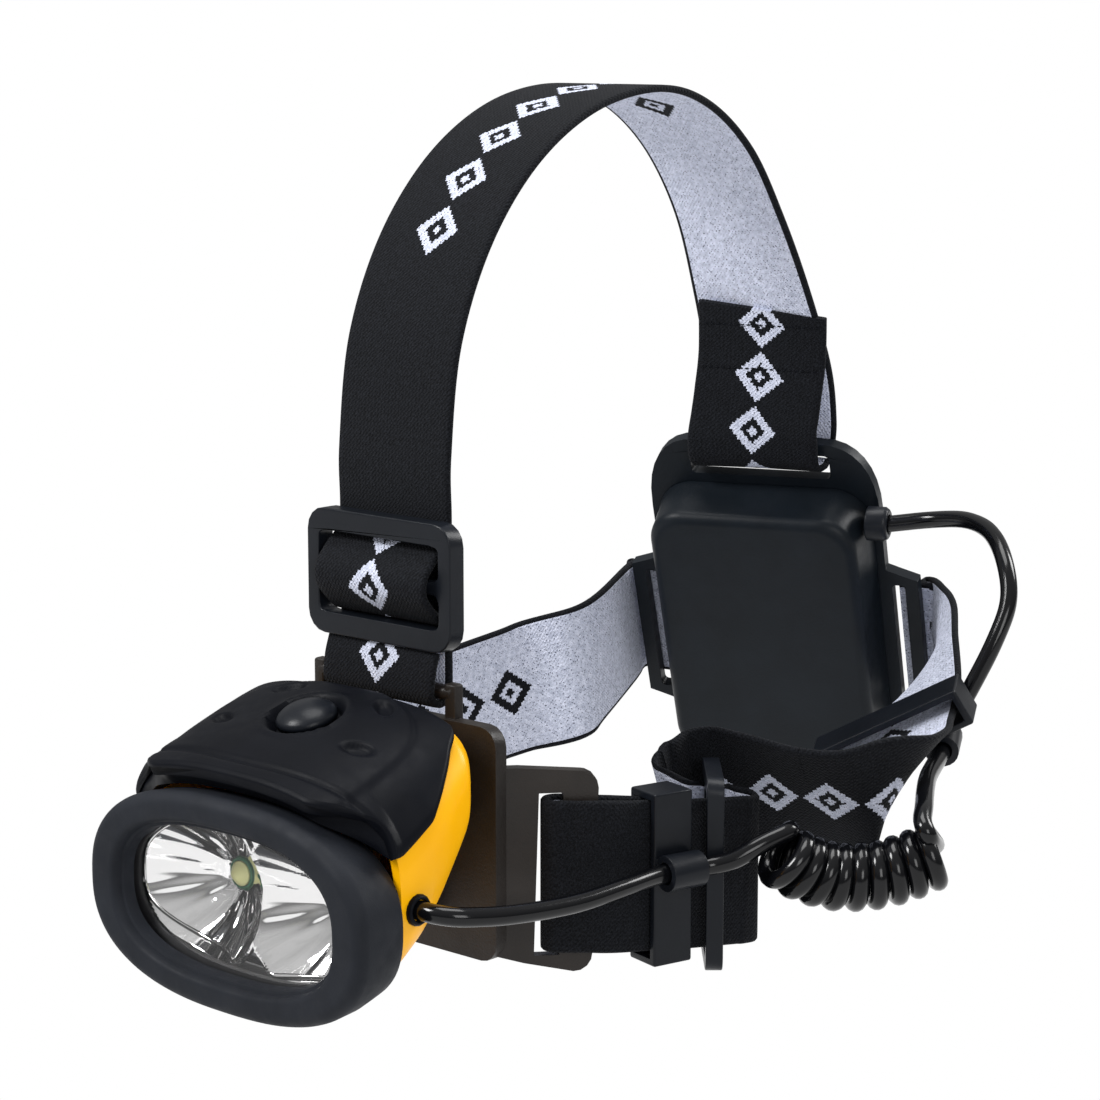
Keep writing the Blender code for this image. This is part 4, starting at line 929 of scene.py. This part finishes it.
def make_shell():
    """The yellow body as a smooth skin, and the knuckle that the tilt hinge runs through."""
    wall, front, rear = 1.8, BODY_SECTIONS[0][0], BODY_SECTIONS[-1][0]
    depths = np.concatenate([np.linspace(front, -15.0, 60), np.linspace(-14.7, rear, 6)])
    sections = np.array([[y, *read_table(BODY_SECTIONS, y)] for y in depths])
    soften(sections, 6)
    rings = [oval_ring(y, wide, high, square, middle) for y, middle, wide, high, square in sections]
    inner = [oval_ring(min(y, rear - wall), wide - wall, high - wall, square, middle)
             for y, middle, wide, high, square in sections]
    y, middle, wide, high, square = sections[-1]
    for inset, back in ((1.0, 0.35), (2.4, 0.6), (8.0, 0.8)):
        rings.append(oval_ring(y + back, wide - inset, high - inset, square, middle))
    shell = skin("yellow_body", inner[::-1] + rings, YELLOW, angle=45)
    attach(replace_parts(shell, "lamp_shell"), "lamp")
    pin_y, pin_z, radius, half = -15.0, -5.0, 4.6, 8.5
    section = []
    for degrees in range(-200, 21, 10):
        angle = math.radians(degrees)
        section.append((pin_y + radius * math.cos(angle), pin_z + radius * math.sin(angle)))
    section += [(-13.6, 8.6), (-20.6, 6.6)]
    knuckle = skin("hinge_knuckle", [[(x, y, z) for y, z in section] for x in (-half, half)], YELLOW)
    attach(knuckle, "lamp")


make_shell()
make_bezel()
make_reflector()
make_reflector_bead()
make_emitter_collars()
make_cover()


# ---- forehead pad --------------------------------------------------------------------------
def make_pad():
    """A foam pad with a crowned edge and a pressed seam round it."""
    wide, high, square, middle = 28.0, 19.0, 5.0, 6.0
    # Each step: depth, and how far it lies inside the pad's outline.
    steps = ((-5.0, 3.0), (-4.8, 1.2), (-4.2, 0.3), (-3.2, 0.0), (-2.0, 0.1), (-1.1, 0.7), (-0.9, 1.6),
             (-0.75, 2.4), (-0.25, 3.2), (0.0, 4.6))
    rings = [oval_ring(y, wide - inset, high - inset, square, middle) for y, inset in steps]
    pad = skin("foam_pad", rings, FOAM)
    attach(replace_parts(pad, "forehead_pad"), "headband")


make_pad()


# ---- battery case --------------------------------------------------------------------------
CASE_HALF = (25.0, 35.0)
CASE_FLOOR = -13.5


def case_ring(y, inset, corner, share=1.0):
    """A ring round the case at depth y, as far inside its outline as inset, and scaled by share."""
    steps = 12
    ring = []
    for side, up, start in ((1, 1, 0), (-1, 1, 90), (-1, -1, 180), (1, -1, 270)):
        for step in range(steps):
            angle = math.radians(start + 90 * step / (steps - 1))
            x = side * (CASE_HALF[0] - inset - corner) + corner * math.cos(angle)
            z = up * (CASE_HALF[1] - inset - corner) + corner * math.sin(angle)
            ring.append(tuple(on_battery(x * share, y, z * share)))
    return ring


def make_case():
    """The cell box: a tub with a drafted wall and a broad rolled edge round its slightly domed floor."""
    roll, draft, dome = 2.6, 1.0, 0.25
    rings = [case_ring(y, inset, 7.0) for y, inset in ((-12.0, 3.6), (-11.0, 2.8), (-0.3, 1.9))]
    steps = [(-0.3, 0.0, 9.0), (-1.2, 0.0, 9.0), (-2.0, 0.25, 9.0), (CASE_FLOOR + roll + 1.0, 0.9, 8.6)]
    for degrees in range(0, 91, 10):
        angle = math.radians(degrees)
        steps.append((CASE_FLOOR + roll * (1 - math.sin(angle)), draft + roll * (1 - math.cos(angle)), 8.4))
    rings += [case_ring(y, inset, max(corner - 0.4 * inset, 3.0)) for y, inset, corner in steps]
    rings += [case_ring(CASE_FLOOR - dome * (1 - share ** 2), draft + roll, 5.5, share)
              for share in (0.7, 0.4, 0.15)]
    case = skin("cell_case", rings, CASE)
    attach(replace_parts(case, "battery_case"), "headband")


make_case()


# ---- CAD pieces that stay ------------------------------------------------------------------
# Each row: the nodes, their material, and how far their edges are rounded.
KEPT = (
    (("lens",), GLASS, 0.2), (("lens_gasket", "battery_seal"), SEAL, 0.0),
    (("led_board", "driver_board"), BOARD, 0.0), (("led_left", "led_right"), PHOSPHOR, 0.0),
    (("heat_sink",), ALUMINIUM, 0.15),
    (("power_button",), BUCKLE, 0.0), (("lamp_gland",), SOFT, 0.2),
    (("button_switch", "hinge_pin", "pin_clip_left", "pin_clip_right", "friction_washer_left",
      "friction_washer_right", "lid_pin", "contact_spring_1", "contact_spring_2", "contact_spring_3",
      "contact_plate_top", "contact_plate_bottom"), STEEL, 0.1),
    (("forehead_bracket",), BRACKET, 0.6), (("top_slider",), BUCKLE, 1.3),
    (("left_slider",), BUCKLE, 0.9), (("front_keeper", "rear_keeper"), BUCKLE, 0.4),
    (("battery_frame", "battery_lid"), CASE, 0.6), (("battery_gland",), BUCKLE, 0.3),
    (("cell_1", "cell_2", "cell_3"), WRAP, 0.4),
)
for names, finish, edge in KEPT:
    for name in names:
        node = NODES[name]
        node.data.materials.clear()
        node.data.materials.append(finish)
        weld = node.modifiers.new("weld", "WELD")
        weld.merge_threshold = WELD_WITHIN
        if edge:
            bevel = node.modifiers.new("edges", "BEVEL")
            bevel.width = edge * MM
            bevel.segments = 3
            bevel.limit_method = "ANGLE"
            bevel.angle_limit = math.radians(38)
            bevel.use_clamp_overlap = True
        node.data.shade_smooth()
        smooth = node.modifiers.new("normals", "WEIGHTED_NORMAL")
        smooth.keep_sharp = True


# ---- studio --------------------------------------------------------------------------------
LIGHTS = (
    ("key", (-0.55, -0.9, 1.0), 0.45, 17.0), ("fill", (1.0, -0.55, 0.45), 0.5, 4.0),
    ("rim", (0.5, 1.1, 0.8), 0.5, 10.0), ("top", (-0.1, 0.1, 1.3), 0.7, 9.0),
)


def make_world():
    """White to the camera. To the object, bright from below, dim at eye level, half bright above."""
    world = bpy.data.worlds.new("studio")
    bpy.context.scene.world = world
    world.use_nodes = True
    tree = world.node_tree
    seen = tree.nodes["Background"]
    seen.inputs["Color"].default_value = (1.0, 1.0, 1.0, 1.0)
    seen.inputs["Strength"].default_value = 1.0
    light = tree.nodes.new("ShaderNodeBackground")
    place = tree.nodes.new("ShaderNodeTexCoord")
    split = tree.nodes.new("ShaderNodeSeparateXYZ")
    ramp = tree.nodes.new("ShaderNodeValToRGB")
    set_stops(ramp, ((0.0, 1.0), (0.47, 0.98), (0.5, 0.14), (0.66, 0.36), (1.0, 0.6)))
    shift = tree.nodes.new("ShaderNodeMath")
    shift.operation = "MULTIPLY_ADD"
    shift.inputs[1].default_value = shift.inputs[2].default_value = 0.5
    tree.links.new(place.outputs["Generated"], split.inputs[0])
    tree.links.new(split.outputs[2], shift.inputs[0])
    tree.links.new(shift.outputs[0], ramp.inputs[0])
    tree.links.new(ramp.outputs[0], light.inputs["Color"])
    light.inputs["Strength"].default_value = 1.0
    rays = tree.nodes.new("ShaderNodeLightPath")
    both = tree.nodes.new("ShaderNodeMixShader")
    tree.links.new(rays.outputs["Is Camera Ray"], both.inputs[0])
    tree.links.new(light.outputs[0], both.inputs[1])
    tree.links.new(seen.outputs[0], both.inputs[2])
    tree.links.new(both.outputs[0], tree.nodes["World Output"].inputs["Surface"])


def make_lights():
    """Square area lights aimed at the object's middle."""
    target = Vector((0.0, 0.04, 0.04))
    for name, place_at, size, watts in LIGHTS:
        data = bpy.data.lights.new(name, "AREA")
        data.size, data.energy = size, watts
        lamp = bpy.data.objects.new(name, data)
        bpy.context.scene.collection.objects.link(lamp)
        lamp.location = place_at
        lamp.rotation_euler = (Vector(place_at) - target).to_track_quat("Z", "Y").to_euler()


make_world()
make_lights()
bpy.context.scene.view_settings.view_transform = "Standard"
